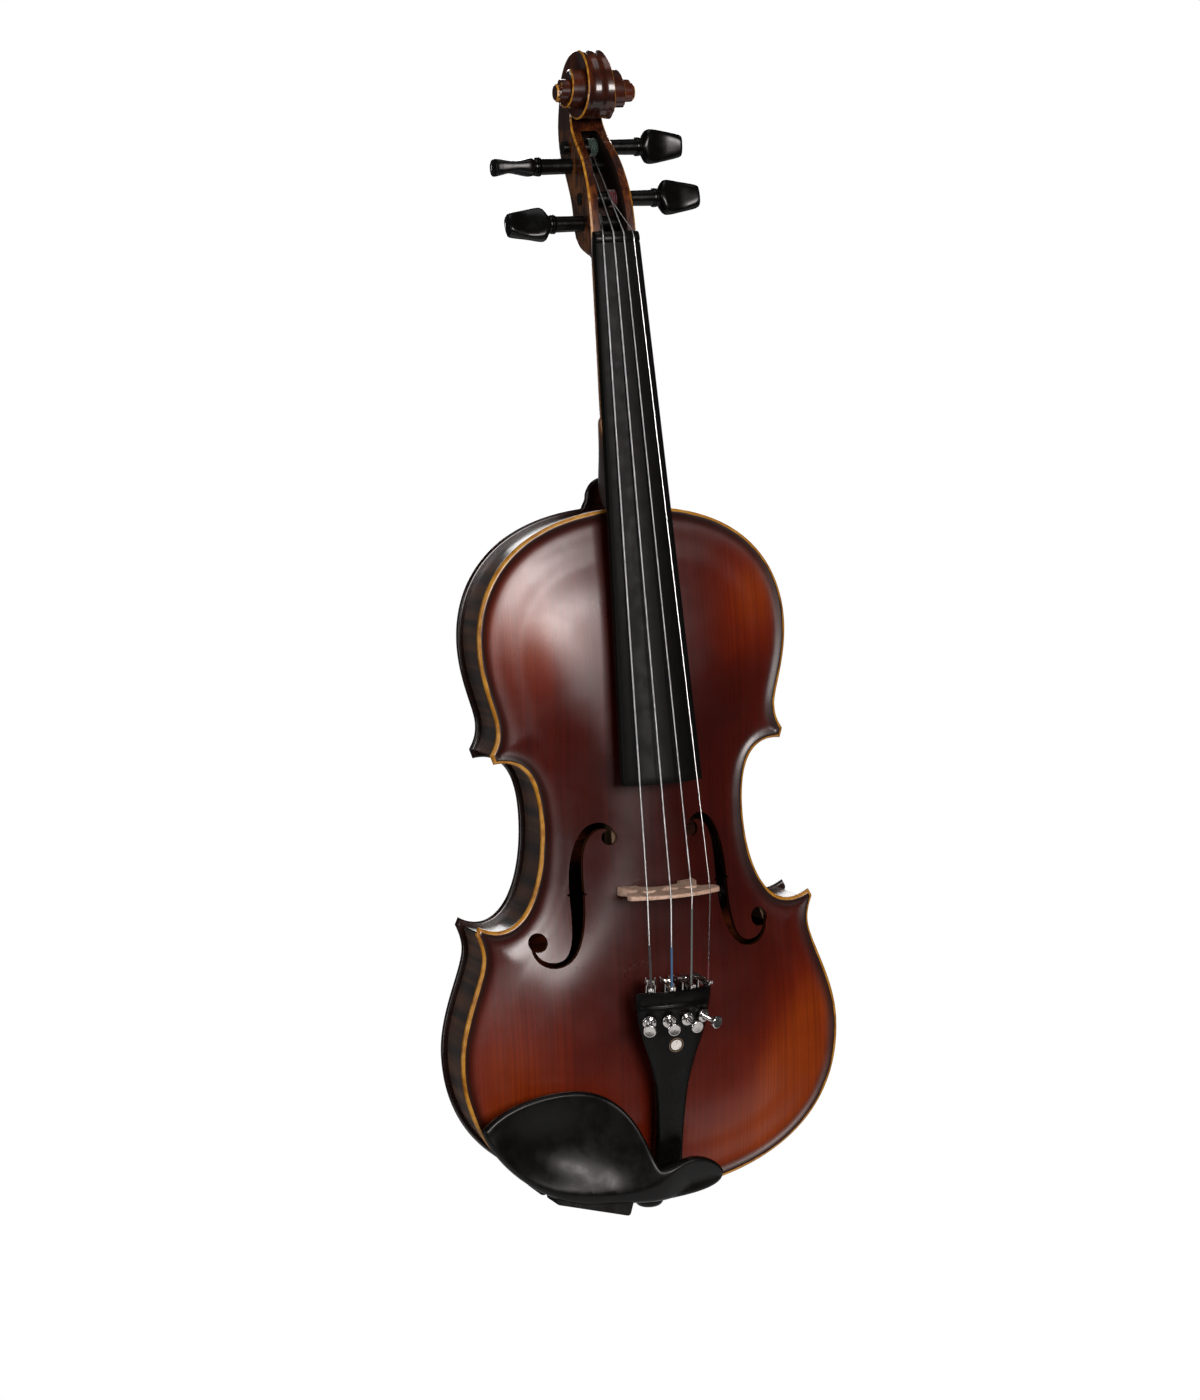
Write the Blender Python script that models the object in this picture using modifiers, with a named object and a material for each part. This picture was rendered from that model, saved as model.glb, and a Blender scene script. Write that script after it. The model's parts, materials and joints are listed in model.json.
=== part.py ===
"""A full-size violin as separate pieces. Source numbers are millimetres: x to the treble side, y from the
front (-y) to the back with 0 at the middle of the ribs, z up from the lower edge of the body.
The model's origin is the flat outer face of the end button, END_BUTTON_OUT below the body."""

import math

import bmesh
import bpy
from mathutils import Matrix, Vector

for old in list(bpy.data.objects):
    bpy.data.objects.remove(old, do_unlink=True)

MM = 0.001
GAP = 0.3

# Body
BODY_LENGTH = 356.0
RIB_HEIGHT = 29.0
RIB_THICKNESS = 1.2
EDGE_THICKNESS = 4.0
OVERHANG = 3.0
TOP_RISE = 12.5
BACK_RISE = 12.0
TOP_THICKNESS = 3.0
BACK_THICKNESS = 4.0
LINING = (2.0, 7.0)
BUTTON_RADIUS = 10.5
BUTTON_TOP = 371.0

# Neck, fingerboard and head
NUT_Z = 488.5
CROWN_AT_NUT = -22.7
NECK_SLOPE = math.tan(math.radians(6.5))
BOARD_LENGTH = 270.0
BOARD_HALF = (12.0, 21.3)
BOARD_RADIUS = 42.0
BOARD_SIDE = 4.3
NECK_ROOT_Z = 347.5
NUT_WIDTH = 5.6
STRING_AT_NUT = -23.6
EYE_HALF = 21.0

# Bridge, strings and tailpiece
BRIDGE_Z = 165.0
BRIDGE_TOP = -66.2
BRIDGE_HALF = 23.5
STRING_SPREAD_NUT = 5.5
STRING_SPREAD_BRIDGE = 11.3
STRING_RADII = {"g": 0.42, "d": 0.40, "a": 0.35, "e": 0.25}
TAIL_TOP_Z = 113.0
TAIL_END_Z = 8.0
TAIL_FRONT = (-55.5, -30.0)
TAIL_THICKNESS = 5.5
TUNER_Z = 98.5
TUNER_ANGLES = {"g": -21.0, "d": -7.0, "a": 7.0, "e": 21.0}
TUNER_ARC = 40.0

# End button and chinrest
END_BUTTON_OUT = 11.0
BARREL_RADIUS = 3.2
CHINREST_THICKNESS = 5.0

STRINGS = ("g", "d", "a", "e")
SIDES = (("bass", -1), ("treble", 1))
EDGE_FACE = RIB_HEIGHT / 2 + EDGE_THICKNESS

# Half outline of the body, as cubic Bezier pieces from the top middle to the bottom middle
UPPER_BOUT = (
    ((0, 356), (60.9, 356), (84, 324.2), (84, 291)),
    ((84, 291), (84, 271.7), (76.4, 256.8), (76.4, 249)),
    ((76.4, 249), (76.4, 244.2), (77.3, 240.9), (80.4, 236.2)),
)
WAIST = (
    ((78.8, 231.4), (57.7, 234.4), (55.7, 211.7), (55.7, 198)),
    ((55.7, 198), (55.7, 168.4), (67.2, 136.6), (91.4, 150.4)),
)
LOWER_BOUT = (
    ((93.3, 146.6), (91.8, 143.5), (90.2, 139), (90.2, 134.5)),
    ((90.2, 134.5), (90.2, 123.1), (104.5, 102.2), (104.5, 79)),
    ((104.5, 79), (104.5, 22.9), (54.6, 0), (0, 0)),
)

# Right sound hole: the middle line of its slot with the slot's width, and its two eyes
SOUND_HOLE = (
    ((20.5, 190), (21, 197.5), (29.5, 199), (34.5, 191.5)),
    ((34.5, 191.5), (38.5, 185.5), (39.8, 176), (39.8, 163)),
    ((39.8, 163), (39.8, 146), (41.5, 128.5), (52.5, 127.4)),
    ((52.5, 127.4), (59.5, 126.7), (64.6, 131.5), (64.3, 139)),
)
SOUND_HOLE_WIDTHS = (1.6, 4.8, 7.2, 3.0, 1.6)
SOUND_HOLE_EYES = (((22.5, 190.3), 3.9), ((61.2, 139.2), 4.9))

# Head in side view as (z, front y, back y, half width)
PEGBOX = (
    (479.5, -15.5, -6.5, 12.2),
    (482, -15.8, 0.5, 12.3),
    (485, -16.3, 4.3, 12.3),
    (491, -16.5, 8.0, 12.2),
    (500, -16.0, 9.0, 12.0),
    (511, -13.8, 12.2, 11.7),
    (520.5, -10.2, 17.8, 11.2),
    (530, -4.5, 25.0, 10.6),
    (538.5, 3.5, 30.8, 10.0),
    (546, 13.0, 33.4, 9.4),
    (556, 19.5, 33.9, 8.4),
    (568, 14.0, 33.2, 6.6),
)
CAVITY_HALF = 7.2
CAVITY_FLOOR = 6.0
VOLUTE_START = (33.5, 565.0)
VOLUTE_EYE = (2.3, 564.6)
VOLUTE_RADII = (22, 21.5, 14, 13, 12, 11, 8.5, 7.5, 6.8, 6.2, 5.4)
VOLUTE_LAYERS = ((0, 7.0), (4, 12.0), (7, 16.5))

# Pegs: string, side, axis (y, z), turn of the thumb piece in degrees
PEGS = (
    ("g", -1, (-4.5, 499.0), 25.0),
    ("e", 1, (-1.5, 511.3), -12.0),
    ("d", -1, (12.5, 529.0), 90.0),
    ("a", 1, (18.5, 538.8), 5.0),
)
# Peg along its axis as (distance from the middle, half thickness, half width)
PEG_SECTIONS = (
    (-12.3, 3.2, 3.2),
    (12.5, 3.95, 3.95),
    (27.5, 4.2, 4.2),
    (28.0, 4.9, 4.9),
    (29.2, 4.9, 4.9),
    (29.7, 4.2, 4.2),
    (31.2, 4.4, 4.4),
    (33.0, 4.7, 6.6),
    (36.0, 4.1, 7.9),
    (41.0, 3.1, 8.0),
    (46.0, 3.5, 7.4),
    (50.0, 4.6, 6.6),
    (52.0, 4.0, 5.4),
    (52.5, 2.9, 4.2),
)
PEG_RUNNING_GAP = 0.12

# Tailpiece as (z, half width, thickness, radius of its front)
TAIL_SECTIONS = (
    (8, 6.6, 6.5, 22),
    (11, 7.8, 7.6, 24),
    (22, 7.4, 7.8, 26),
    (40, 7.5, 7.6, 26),
    (60, 8.8, 7.0, 28),
    (74, 11.8, 6.2, 32),
    (86, 15.8, 5.5, 40),
    (97, 18.8, 5.5, 40),
    (108, 20.3, 5.5, 40),
    (113, 20.5, 5.5, 40),
)

# Chinrest outline seen from the front, as cubic Bezier pieces
CHINREST = (
    ((-10.8, 21.2), (-16.5, 29), (-19, 65), (-57, 65)),
    ((-57, 65), (-75, 65), (-92, 60), (-101.5, 51)),
    ((-101.5, 51), (-97, 36), (-75, 7.3), (-40, 4.6)),
    ((-40, 4.6), (-20, 3.2), (-6, 2.6), (7, 4)),
    ((7, 4), (18.5, 5.2), (27.3, 8), (25.2, 14)),
    ((25.2, 14), (22.5, 20), (14, 25.3), (6.5, 24.8)),
    ((6.5, 24.8), (0, 24), (-6, 21), (-10.8, 21.2)),
)
BARRELS = ((-28.0, -0.6), (-61.2, 8.8))

parts = bpy.data.collections.new("violin")
cutters = bpy.data.collections.new("cutters")
bpy.context.scene.collection.children.link(parts)
bpy.context.scene.collection.children.link(cutters)


# Materials


def finish(name, colour, roughness, metallic=0.0):
    made = bpy.data.materials.new(name)
    made.use_nodes = True
    shader = made.node_tree.nodes["Principled BSDF"]
    shader.inputs["Base Color"].default_value = (*colour, 1.0)
    shader.inputs["Roughness"].default_value = roughness
    shader.inputs["Metallic"].default_value = metallic
    made.diffuse_color = (*colour, 1.0)
    return made


SPRUCE = finish("varnished_spruce", (0.20, 0.035, 0.012), 0.25)
MAPLE = finish("varnished_maple", (0.07, 0.02, 0.012), 0.25)
BARE_WOOD = finish("bare_wood", (0.62, 0.45, 0.28), 0.6)
BRIDGE_MAPLE = finish("bridge_maple", (0.60, 0.42, 0.28), 0.55)
EBONY = finish("ebony", (0.012, 0.011, 0.011), 0.35)
CHROME = finish("chrome", (0.75, 0.75, 0.76), 0.12, 1.0)
STEEL = finish("string_steel", (0.65, 0.65, 0.66), 0.25, 1.0)
BLACK_METAL = finish("black_metal", (0.02, 0.02, 0.022), 0.35, 1.0)
CORK = finish("cork", (0.45, 0.28, 0.15), 0.85)
NYLON = finish("tailgut", (0.02, 0.02, 0.02), 0.4)


# Shape tools


def add(name, mesh, material, origin=(0, 0, 0), parent=None):
    """An object at origin, in the body's frame or in its parent's."""
    made = bpy.data.objects.new(name, mesh)
    made.location = Vector(origin) * MM
    if parent is None:
        made.location.z += END_BUTTON_OUT * MM
    made.parent = parent
    if material is not None and hasattr(mesh, "materials"):
        mesh.materials.append(material)
    parts.objects.link(made)
    return made


def shade(made, angle=35.0):
    made.data.shade_smooth()
    made.data.set_sharp_from_angle(angle=math.radians(angle))
    return made


def as_cutter(made):
    parts.objects.unlink(made)
    cutters.objects.link(made)
    made.hide_render = True
    made.display_type = "WIRE"
    return made


def boolean(target, other, operation):
    step = target.modifiers.new(other.name, "BOOLEAN")
    step.operation = operation
    step.solver = "EXACT"
    step.object = other
    return target


def cut(target, *others):
    for other in others:
        boolean(target, other, "DIFFERENCE")
    return target


def join(target, *others):
    for other in others:
        boolean(target, as_cutter(other), "UNION")
    return target


def loft(name, rings, material, origin=(0, 0, 0), parent=None):
    """A closed skin over rings of equally many points, with a face at each end."""
    shape = bmesh.new()
    rows = [[shape.verts.new(Vector(point) * MM) for point in ring] for ring in rings]
    count = len(rows[0])
    for below, above in zip(rows, rows[1:]):
        for i in range(count):
            j = (i + 1) % count
            shape.faces.new((below[i], below[j], above[j], above[i]))
    shape.faces.new(rows[0])
    shape.faces.new(rows[-1])
    bmesh.ops.recalc_face_normals(shape, faces=shape.faces)
    mesh = bpy.data.meshes.new(name)
    shape.to_mesh(mesh)
    shape.free()
    return shade(add(name, mesh, material, origin, parent))


def rod(name, start, end, radii, material, segments=16, parent=None):
    """A cylinder or cone with its origin at start."""
    start, end = Vector(start), Vector(end)
    turn = Vector((0, 0, 1)).rotation_difference(end - start).to_matrix().to_4x4()
    length = (end - start).length
    shape = bmesh.new()
    bmesh.ops.create_cone(
        shape,
        cap_ends=True,
        segments=segments,
        radius1=radii[0] * MM,
        radius2=radii[1] * MM,
        depth=length * MM,
        matrix=turn @ Matrix.Translation((0, 0, length * MM / 2)),
    )
    mesh = bpy.data.meshes.new(name)
    shape.to_mesh(mesh)
    shape.free()
    return shade(add(name, mesh, material, start, parent))


def box(name, low, high, material, parent=None, bevel=0.0):
    low, high = Vector(low), Vector(high)
    size = high - low
    shape = bmesh.new()
    bmesh.ops.create_cube(shape, size=1.0, matrix=Matrix.Diagonal((*(size * MM), 1.0)))
    mesh = bpy.data.meshes.new(name)
    shape.to_mesh(mesh)
    shape.free()
    made = add(name, mesh, material, (low + high) / 2, parent)
    if bevel:
        edge = made.modifiers.new("rounding", "BEVEL")
        edge.width = bevel * MM
        edge.segments = 2
    return made


def slab(name, outlines, low, high, material, across="y"):
    """Flat outlines with thickness across an axis: x and z across y, x and y across z, y and z across x."""
    frames = {
        "y": Matrix(((1, 0, 0), (0, 0, -1), (0, 1, 0))),
        "z": Matrix.Identity(3),
        "x": Matrix(((0, 0, 1), (1, 0, 0), (0, 1, 0))),
    }
    curve = bpy.data.curves.new(name, "CURVE")
    curve.dimensions = "2D"
    curve.fill_mode = "BOTH"
    curve.extrude = (high - low) / 2 * MM
    for outline in outlines:
        spline = curve.splines.new("POLY")
        spline.points.add(len(outline) - 1)
        for point, (u, v) in zip(spline.points, outline):
            point.co = (u * MM, v * MM, 0, 1)
        spline.use_cyclic_u = True
    turn = frames[across].to_4x4()
    middle = {"y": (0, 1, 0), "z": (0, 0, 1), "x": (1, 0, 0)}[across]
    rough = add(name + "_outline", curve, None, Vector(middle) * (low + high) / 2)
    rough.matrix_world = Matrix.Translation(rough.location) @ turn
    bpy.context.view_layer.update()
    solid = rough.evaluated_get(bpy.context.evaluated_depsgraph_get())
    mesh = bpy.data.meshes.new_from_object(solid)
    shape = bmesh.new()
    shape.from_mesh(mesh)
    bmesh.ops.remove_doubles(shape, verts=shape.verts, dist=0.00001)
    bmesh.ops.recalc_face_normals(shape, faces=shape.faces)
    shape.to_mesh(mesh)
    shape.free()
    mesh.materials.clear()
    made = add(name, mesh, material)
    made.matrix_world = rough.matrix_world
    bpy.data.objects.remove(rough)
    return shade(made)


def turned(name, profile, material, origin=(0, 0, 0), parent=None, turn=None, steps=20):
    """A profile of (radius, height) points, top to bottom, turned about its own z axis."""
    mesh = bpy.data.meshes.new(name)
    points = [(radius * MM, 0, height * MM) for radius, height in profile]
    mesh.from_pydata(points, [(i, i + 1) for i in range(len(points) - 1)], [])
    made = add(name, mesh, material, origin, parent)
    if turn is not None:
        made.rotation_euler = turn
    screw = made.modifiers.new("turning", "SCREW")
    screw.steps = steps
    screw.render_steps = steps
    screw.use_merge_vertices = True
    screw.merge_threshold = 0.00001
    screw.use_smooth_shade = True
    return made


def tube(name, points, radius, material, cyclic=False, parent=None):
    curve = bpy.data.curves.new(name, "CURVE")
    curve.dimensions = "3D"
    curve.bevel_depth = radius * MM
    curve.bevel_resolution = 2
    curve.use_fill_caps = True
    spline = curve.splines.new("POLY")
    spline.points.add(len(points) - 1)
    for place, point in zip(spline.points, points):
        place.co = (*(Vector(point) * MM), 1)
    spline.use_cyclic_u = cyclic
    return add(name, curve, material, parent=parent)


# Curves and the body's outline


def bezier(piece, steps, last=False):
    p0, p1, p2, p3 = (Vector(p) for p in piece)
    count = steps + 1 if last else steps
    found = []
    for i in range(count):
        t = i / steps
        s = 1 - t
        found.append(s**3 * p0 + 3 * s * s * t * p1 + 3 * s * t * t * p2 + t**3 * p3)
    return found


def chain(pieces, steps, last=False):
    found = []
    for piece in pieces[:-1]:
        found += bezier(piece, steps)
    return found + bezier(pieces[-1], steps, last)


def mirrored(points):
    return [Vector((-p.x, p.y)) for p in reversed(points)]


def half_outline(steps=8):
    return (
        chain(UPPER_BOUT, steps, True)
        + chain(WAIST, 2 * steps, True)
        + chain(LOWER_BOUT, steps, True)
    )


def whole_outline(half):
    return half + mirrored(half)[1:-1]


HALF = half_outline()
OUTLINE = whole_outline(HALF)
FINE_OUTLINE = whole_outline(half_outline(24))


def distance_to_outline(p):
    nearest = 1e9
    for a, b in zip(FINE_OUTLINE, FINE_OUTLINE[1:] + FINE_OUTLINE[:1]):
        along = b - a
        if along.length_squared < 1e-9:
            continue
        t = max(0.0, min(1.0, (p - a).dot(along) / along.length_squared))
        nearest = min(nearest, (p - a - t * along).length)
    return nearest


def inset(run, depth):
    """The run moved inwards, without the points that come nearer than depth to the outline."""
    moved = []
    for i, p in enumerate(run):
        along = run[min(i + 1, len(run) - 1)] - run[max(i - 1, 0)]
        inward = Vector((along.y, -along.x)).normalized()
        candidate = p + depth * inward
        if distance_to_outline(candidate) > depth - 0.2:
            moved.append(candidate)
    return moved


def smooth_step(t):
    t = max(0.0, min(1.0, t))
    return t * t * (3 - 2 * t)


def smooth_half_width(z):
    """Half width of the body without its corners, for the arching."""
    lower, waist, upper = (79, 104.5), (198, 57), (291, 84)
    if z < waist[0]:
        a, b = lower, waist
    else:
        a, b = waist, upper
    return a[1] + (b[1] - a[1]) * smooth_step((z - a[0]) / (b[0] - a[0]))


def arching(x, z, rise):
    """Rise of a plate over its flat rim."""
    along = 1 - abs(2 * z / BODY_LENGTH - 1) ** 3
    across = 1 - 0.7 * (x / smooth_half_width(z)) ** 2
    channel = smooth_step((distance_to_outline(Vector((x, z))) - 6) / 30)
    return rise * max(0.0, along) * max(0.0, across) * channel


def plate(name, outline, rise, thickness, side, material):
    """An arched shell with a flat rim, its inner face at the ribs; side is -1 for the front."""
    top = max(p.y for p in outline) + 3
    shape = bmesh.new()
    bmesh.ops.create_grid(shape, x_segments=16, y_segments=28, size=0.5)
    for vert in shape.verts:
        x = vert.co.x * 220
        z = -3 + (vert.co.y + 0.5) * (top + 3)
        inside = max(0.0, arching(x, z, rise)) if 0 < z < BODY_LENGTH else 0.0
        if not covers(x, z):
            inside = 0.0
        vert.co = Vector((x, side * (RIB_HEIGHT / 2 + inside), z)) * MM
    bmesh.ops.recalc_face_normals(shape, faces=shape.faces)
    if sum(face.normal.y for face in shape.faces) * side < 0:
        bmesh.ops.reverse_faces(shape, faces=shape.faces)
    mesh = bpy.data.meshes.new(name)
    shape.to_mesh(mesh)
    shape.free()
    made = add(name, mesh, material)
    inner = made.vertex_groups.new(name="arch")
    for vert in made.data.vertices:
        height = abs(vert.co.y) / MM - RIB_HEIGHT / 2
        thinned = (1 - thickness / EDGE_THICKNESS) * min(1.0, height / 3)
        inner.add([vert.index], 1 - thinned, "REPLACE")
    shell = made.modifiers.new("shell", "SOLIDIFY")
    shell.thickness = EDGE_THICKNESS * MM
    shell.offset = 1.0
    shell.vertex_group = "arch"
    trim = as_cutter(slab(name + "_trim", [outline], -60, 60, None))
    boolean(made, trim, "INTERSECT")
    return shade(made)


def covers(x, z):
    """Whether the outline covers a point, for the arching of the bouts."""
    inside = False
    for a, b in zip(OUTLINE, OUTLINE[1:] + OUTLINE[:1]):
        if (a.y > z) != (b.y > z) and x < a.x + (z - a.y) / (b.y - a.y) * (b.x - a.x):
            inside = not inside
    return inside


def disc(centre, radius, count=16):
    turn = 2 * math.pi / count
    return [
        Vector((centre[0] + radius * math.cos(i * turn), centre[1] + radius * math.sin(i * turn)))
        for i in range(count)
    ]


def sound_hole_slot(steps=6):
    """Outline of the slot: its middle line moved half its width to each side."""
    middle = chain(SOUND_HOLE, steps, True)
    left, right = [], []
    for i, p in enumerate(middle):
        along = middle[min(i + 1, len(middle) - 1)] - middle[max(i - 1, 0)]
        normal = Vector((-along.y, along.x)).normalized()
        place = i / steps
        piece = min(int(place), len(SOUND_HOLE) - 1)
        t = smooth_step(place - piece)
        width = SOUND_HOLE_WIDTHS[piece] * (1 - t) + SOUND_HOLE_WIDTHS[piece + 1] * t
        left.append(p + normal * width / 2)
        right.append(p - normal * width / 2)
    return left + right[::-1]


# Neck lines


def crown(z):
    return CROWN_AT_NUT - NECK_SLOPE * (NUT_Z - z)


def board_half(z):
    t = (NUT_Z - z) / BOARD_LENGTH
    return BOARD_HALF[0] + (BOARD_HALF[1] - BOARD_HALF[0]) * t


def sagitta(half, radius):
    return radius - math.sqrt(radius * radius - half * half)


def glue_line(z):
    """The flat joint between the neck and the fingerboard."""
    drops = [sagitta(half, BOARD_RADIUS) for half in BOARD_HALF]
    t = (NUT_Z - z) / BOARD_LENGTH
    return crown(z) + drops[0] + (drops[1] - drops[0]) * t + BOARD_SIDE


def arc_ring(z, half, radius, front, back, count=10):
    """A cross-section with an arched front and a flat back, in the plane of height z."""
    ring = []
    for i in range(count + 1):
        x = -half + 2 * half * i / count
        ring.append((x, front + sagitta(abs(x), radius), z))
    return ring + [(half, back, z), (-half, back, z)]


def neck_ring(z, half, back, count=12):
    """A flat glue face and a rounded back."""
    front = glue_line(z)
    ring = []
    for i in range(count + 1):
        t = math.pi * i / count
        ring.append((half * math.cos(t), front + (back - front) * math.sin(t) ** 0.8, z))
    return ring


def heel_ring(y, half, top, gap=0.0, count=12):
    """A flat end in the body and a rounded upper side."""
    low = NECK_ROOT_Z - gap
    ring = []
    for i in range(count + 1):
        t = math.pi * i / count
        z = low + (top + gap - low) * math.sin(t) ** 0.7
        ring.append(((half + gap) * math.cos(t), max(y, glue_line(z) + 0.6), z))
    return ring


HEEL = (
    (-30.0, 15.9, 392.0),
    (-20.0, 15.9, 391.0),
    (-13.0, 15.3, 385.0),
    (-6.0, 14.0, 377.0),
    (1.0, 12.4, 372.6),
    (8.0, 11.2, 370.8),
    (RIB_HEIGHT / 2 - GAP, 10.5, 370.4),
)


# Pieces


def make_body():
    button = [
        Vector((BUTTON_RADIUS * math.sin(a), BUTTON_TOP - BUTTON_RADIUS + BUTTON_RADIUS * math.cos(a)))
        for a in (i * math.pi / 20 for i in range(11))
    ]
    back_half = button + [p for p in HALF if p.x > BUTTON_RADIUS or p.y < 300]
    top = plate("top_plate", OUTLINE, TOP_RISE - TOP_THICKNESS + EDGE_THICKNESS, TOP_THICKNESS, -1, SPRUCE)
    plate("back_plate", whole_outline(back_half), BACK_RISE, BACK_THICKNESS, 1, MAPLE)
    for side, sign in SIDES:
        shapes = [sound_hole_slot()] + [disc(*eye) for eye in SOUND_HOLE_EYES]
        for i, shape in enumerate(shapes):
            if sign < 0:
                shape = mirrored(shape)
            cut(top, as_cutter(slab(f"sound_hole_{side}_{i}", [shape], -60, -5, None)))
    return top


def make_ribs():
    runs = {
        "upper": chain(UPPER_BOUT, 10, True),
        "middle": chain(WAIST, 16, True),
        "lower": chain(LOWER_BOUT, 10, True),
    }
    half = RIB_HEIGHT / 2 - GAP
    made = {}
    for name, run in runs.items():
        outer = inset(run, OVERHANG)
        inner = inset(run, OVERHANG + RIB_THICKNESS)
        if name == "middle":
            outer, inner = outer[1:-1], inner[1:-1]
        for line in (outer, inner):
            for p in line:
                p.x = max(p.x, GAP / 2)
        shape = outer + inner[::-1]
        for side, sign in SIDES:
            outline = shape if sign > 0 else mirrored(shape)
            rib = slab(f"{name}_rib_{side}", [outline], -half, half, MAPLE)
            made[name, side] = rib
    return made


def make_linings(heel_clearance):
    gap = OVERHANG + RIB_THICKNESS + 2 * GAP
    width, height = LINING
    half = RIB_HEIGHT / 2 - GAP
    slots = []
    for name, side in (("top_linings", -1), ("back_linings", 1)):
        for grow, label in ((0.0, name), (1.7 * GAP, name + "_slot")):
            rings = []
            for depth in (gap - grow, gap + width + grow):
                run = inset(chain(UPPER_BOUT, 7, True), depth)
                run += inset(chain(WAIST, 10, True), depth)
                run += inset(chain(LOWER_BOUT, 7, True), depth)
                run[0].x = 0
                run[-1].x = 0
                rings.append(whole_outline(run))
            ends = sorted((side * (half - height - grow), side * (half + 3 * grow)))
            ring = slab(label, rings, *ends, BARE_WOOD)
            if grow:
                slots.append(as_cutter(ring))
            else:
                cut(ring, heel_clearance)
    return slots


def make_blocks(slots, heel_clearance):
    half = RIB_HEIGHT / 2 - GAP
    depth = OVERHANG + RIB_THICKNESS + GAP
    upper = inset(chain(UPPER_BOUT, 7, True), depth)
    waist = inset(chain(WAIST, 14, True), depth)
    lower = inset(chain(LOWER_BOUT, 7, True), depth)
    corners = {
        "upper": [p for p in upper if p.y < 258] + [p for p in waist if p.y > 222],
        "lower": [p for p in waist if p.y < 160] + [p for p in lower if p.y > 124],
    }
    corners["upper"].append(Vector((58, 243)))
    corners["lower"].append(Vector((66, 136)))
    for name, shape in corners.items():
        for side, sign in SIDES:
            outline = shape if sign > 0 else mirrored(shape)
            cut(slab(f"{name}_corner_block_{side}", [outline], -half, half, BARE_WOOD), *slots)
    top_edge = inset(chain(UPPER_BOUT, 24, True), depth)
    bottom_edge = inset(chain(LOWER_BOUT, 24, True), depth)
    ends = {
        "upper_block": ([p for p in top_edge if p.x < 27], 335.0),
        "lower_block": ([p for p in bottom_edge if p.x < 26], 19.0),
    }
    made = {}
    for name, (edge, inner_z) in ends.items():
        edge = sorted(edge, key=lambda p: p.x)
        edge[0] = Vector((0, edge[0].y))
        right = edge + [Vector((edge[-1].x, inner_z))]
        outline = right + mirrored(right)[:-1]
        made[name] = cut(slab(name, [outline], -half, half, BARE_WOOD), *slots)
    cut(made["upper_block"], heel_clearance)
    return made


def make_inside():
    bar_x, bar_half = -18.0, 2.6
    low, high = 45.0, 312.0
    count = 18
    rise = TOP_RISE - TOP_THICKNESS + EDGE_THICKNESS
    front, crest = [], []
    for i in range(count + 1):
        z = low + (high - low) * i / count
        under = min(arching(x, z, rise) for x in (bar_x - 3, bar_x, bar_x + 3))
        surface = -(RIB_HEIGHT / 2 + under) + 1.3
        front.append((surface, z))
        crest.append((surface + 3 + 8 * math.sin(math.pi * i / count), z))
    slab("bass_bar", [front + crest[::-1]], bar_x - bar_half, bar_x + bar_half, BARE_WOOD, "x")
    post_x, post_z, post_r = 20.0, BRIDGE_Z - 6, 3.0
    reach = (-post_r, post_r)
    nearest_top = min(arching(post_x + d, post_z, rise) for d in reach)
    nearest_back = min(arching(post_x + d, post_z, BACK_RISE) for d in reach)
    rod(
        "sound_post",
        (post_x, -(RIB_HEIGHT / 2 + nearest_top) + 0.7, post_z),
        (post_x, RIB_HEIGHT / 2 + nearest_back - 0.7, post_z),
        (post_r, post_r),
        BARE_WOOD,
    )


def volute(steps=4):
    """Quarter arcs, each smaller than the one before, wound inwards from the back of the head."""
    y, z = VOLUTE_START
    points = []
    for i, radius in enumerate(VOLUTE_RADII):
        start = i * math.pi / 2
        centre = (y - radius * math.cos(start), z - radius * math.sin(start))
        for k in range(steps):
            a = start + math.pi / 2 * k / steps
            points.append((centre[0] + radius * math.cos(a), centre[1] + radius * math.sin(a)))
        end = start + math.pi / 2
        y = centre[0] + radius * math.cos(end)
        z = centre[1] + radius * math.sin(end)
    return points


def make_neck():
    rings = []
    for i in range(8):
        t = i / 7
        z = NUT_Z + 5.5 + (NECK_ROOT_Z - NUT_Z - 5.5) * t
        rings.append(neck_ring(z, board_half(z), crown(z) + 18.7 + 1.6 * t))
    neck = loft("neck", rings, MAPLE)
    heel = loft("neck_heel", [heel_ring(*section) for section in HEEL], MAPLE)
    box_rings = []
    for z, front, back, half in PEGBOX:
        box_rings.append(((-half, front, z), (half, front, z), (half, back, z), (-half, back, z)))
    pegbox = loft("pegbox", box_rings, MAPLE)
    join(neck, heel, pegbox)
    curl = volute()
    for first, half in VOLUTE_LAYERS:
        ring = curl[4 * first : 4 * first + 17]
        centre = [sum(values) / len(ring) for values in zip(*ring)]
        ring = [[c + 0.98 * (v - c) for v, c in zip(point, centre)] for point in ring]
        join(neck, slab(f"volute_{first}", [ring], -half, half, MAPLE, "x"))
    eye = Vector((0, *VOLUTE_EYE))
    half = Vector((EYE_HALF, 0, 0))
    join(neck, rod("eye", eye - half, eye + half, (5.0, 5.0), MAPLE, 14))
    hollow_front = [(-24.0, 494.6)] + [(front - 8, z) for z, front, _, _ in PEGBOX if 495 < z < 547]
    hollow_back = [(2.0, 494.6)] + [(back - CAVITY_FLOOR, z) for z, _, back, _ in PEGBOX if 495 < z < 540]
    hollow = slab("hollow", [hollow_front + hollow_back[::-1]], -CAVITY_HALF, CAVITY_HALF, None, "x")
    cut(neck, as_cutter(hollow))
    for string, sign, (y, z), _ in PEGS:
        ends = []
        for x in (-16, 16):
            radius = PEG_SECTIONS[0][1] + (x + 12.3) * 0.75 / 24.8 + PEG_RUNNING_GAP
            ends.append((Vector((sign * x, y, z)), radius))
        bore = rod(f"{string}_peg_bore", ends[0][0], ends[1][0], (ends[0][1], ends[1][1]), None, 32)
        cut(neck, as_cutter(bore))


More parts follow.
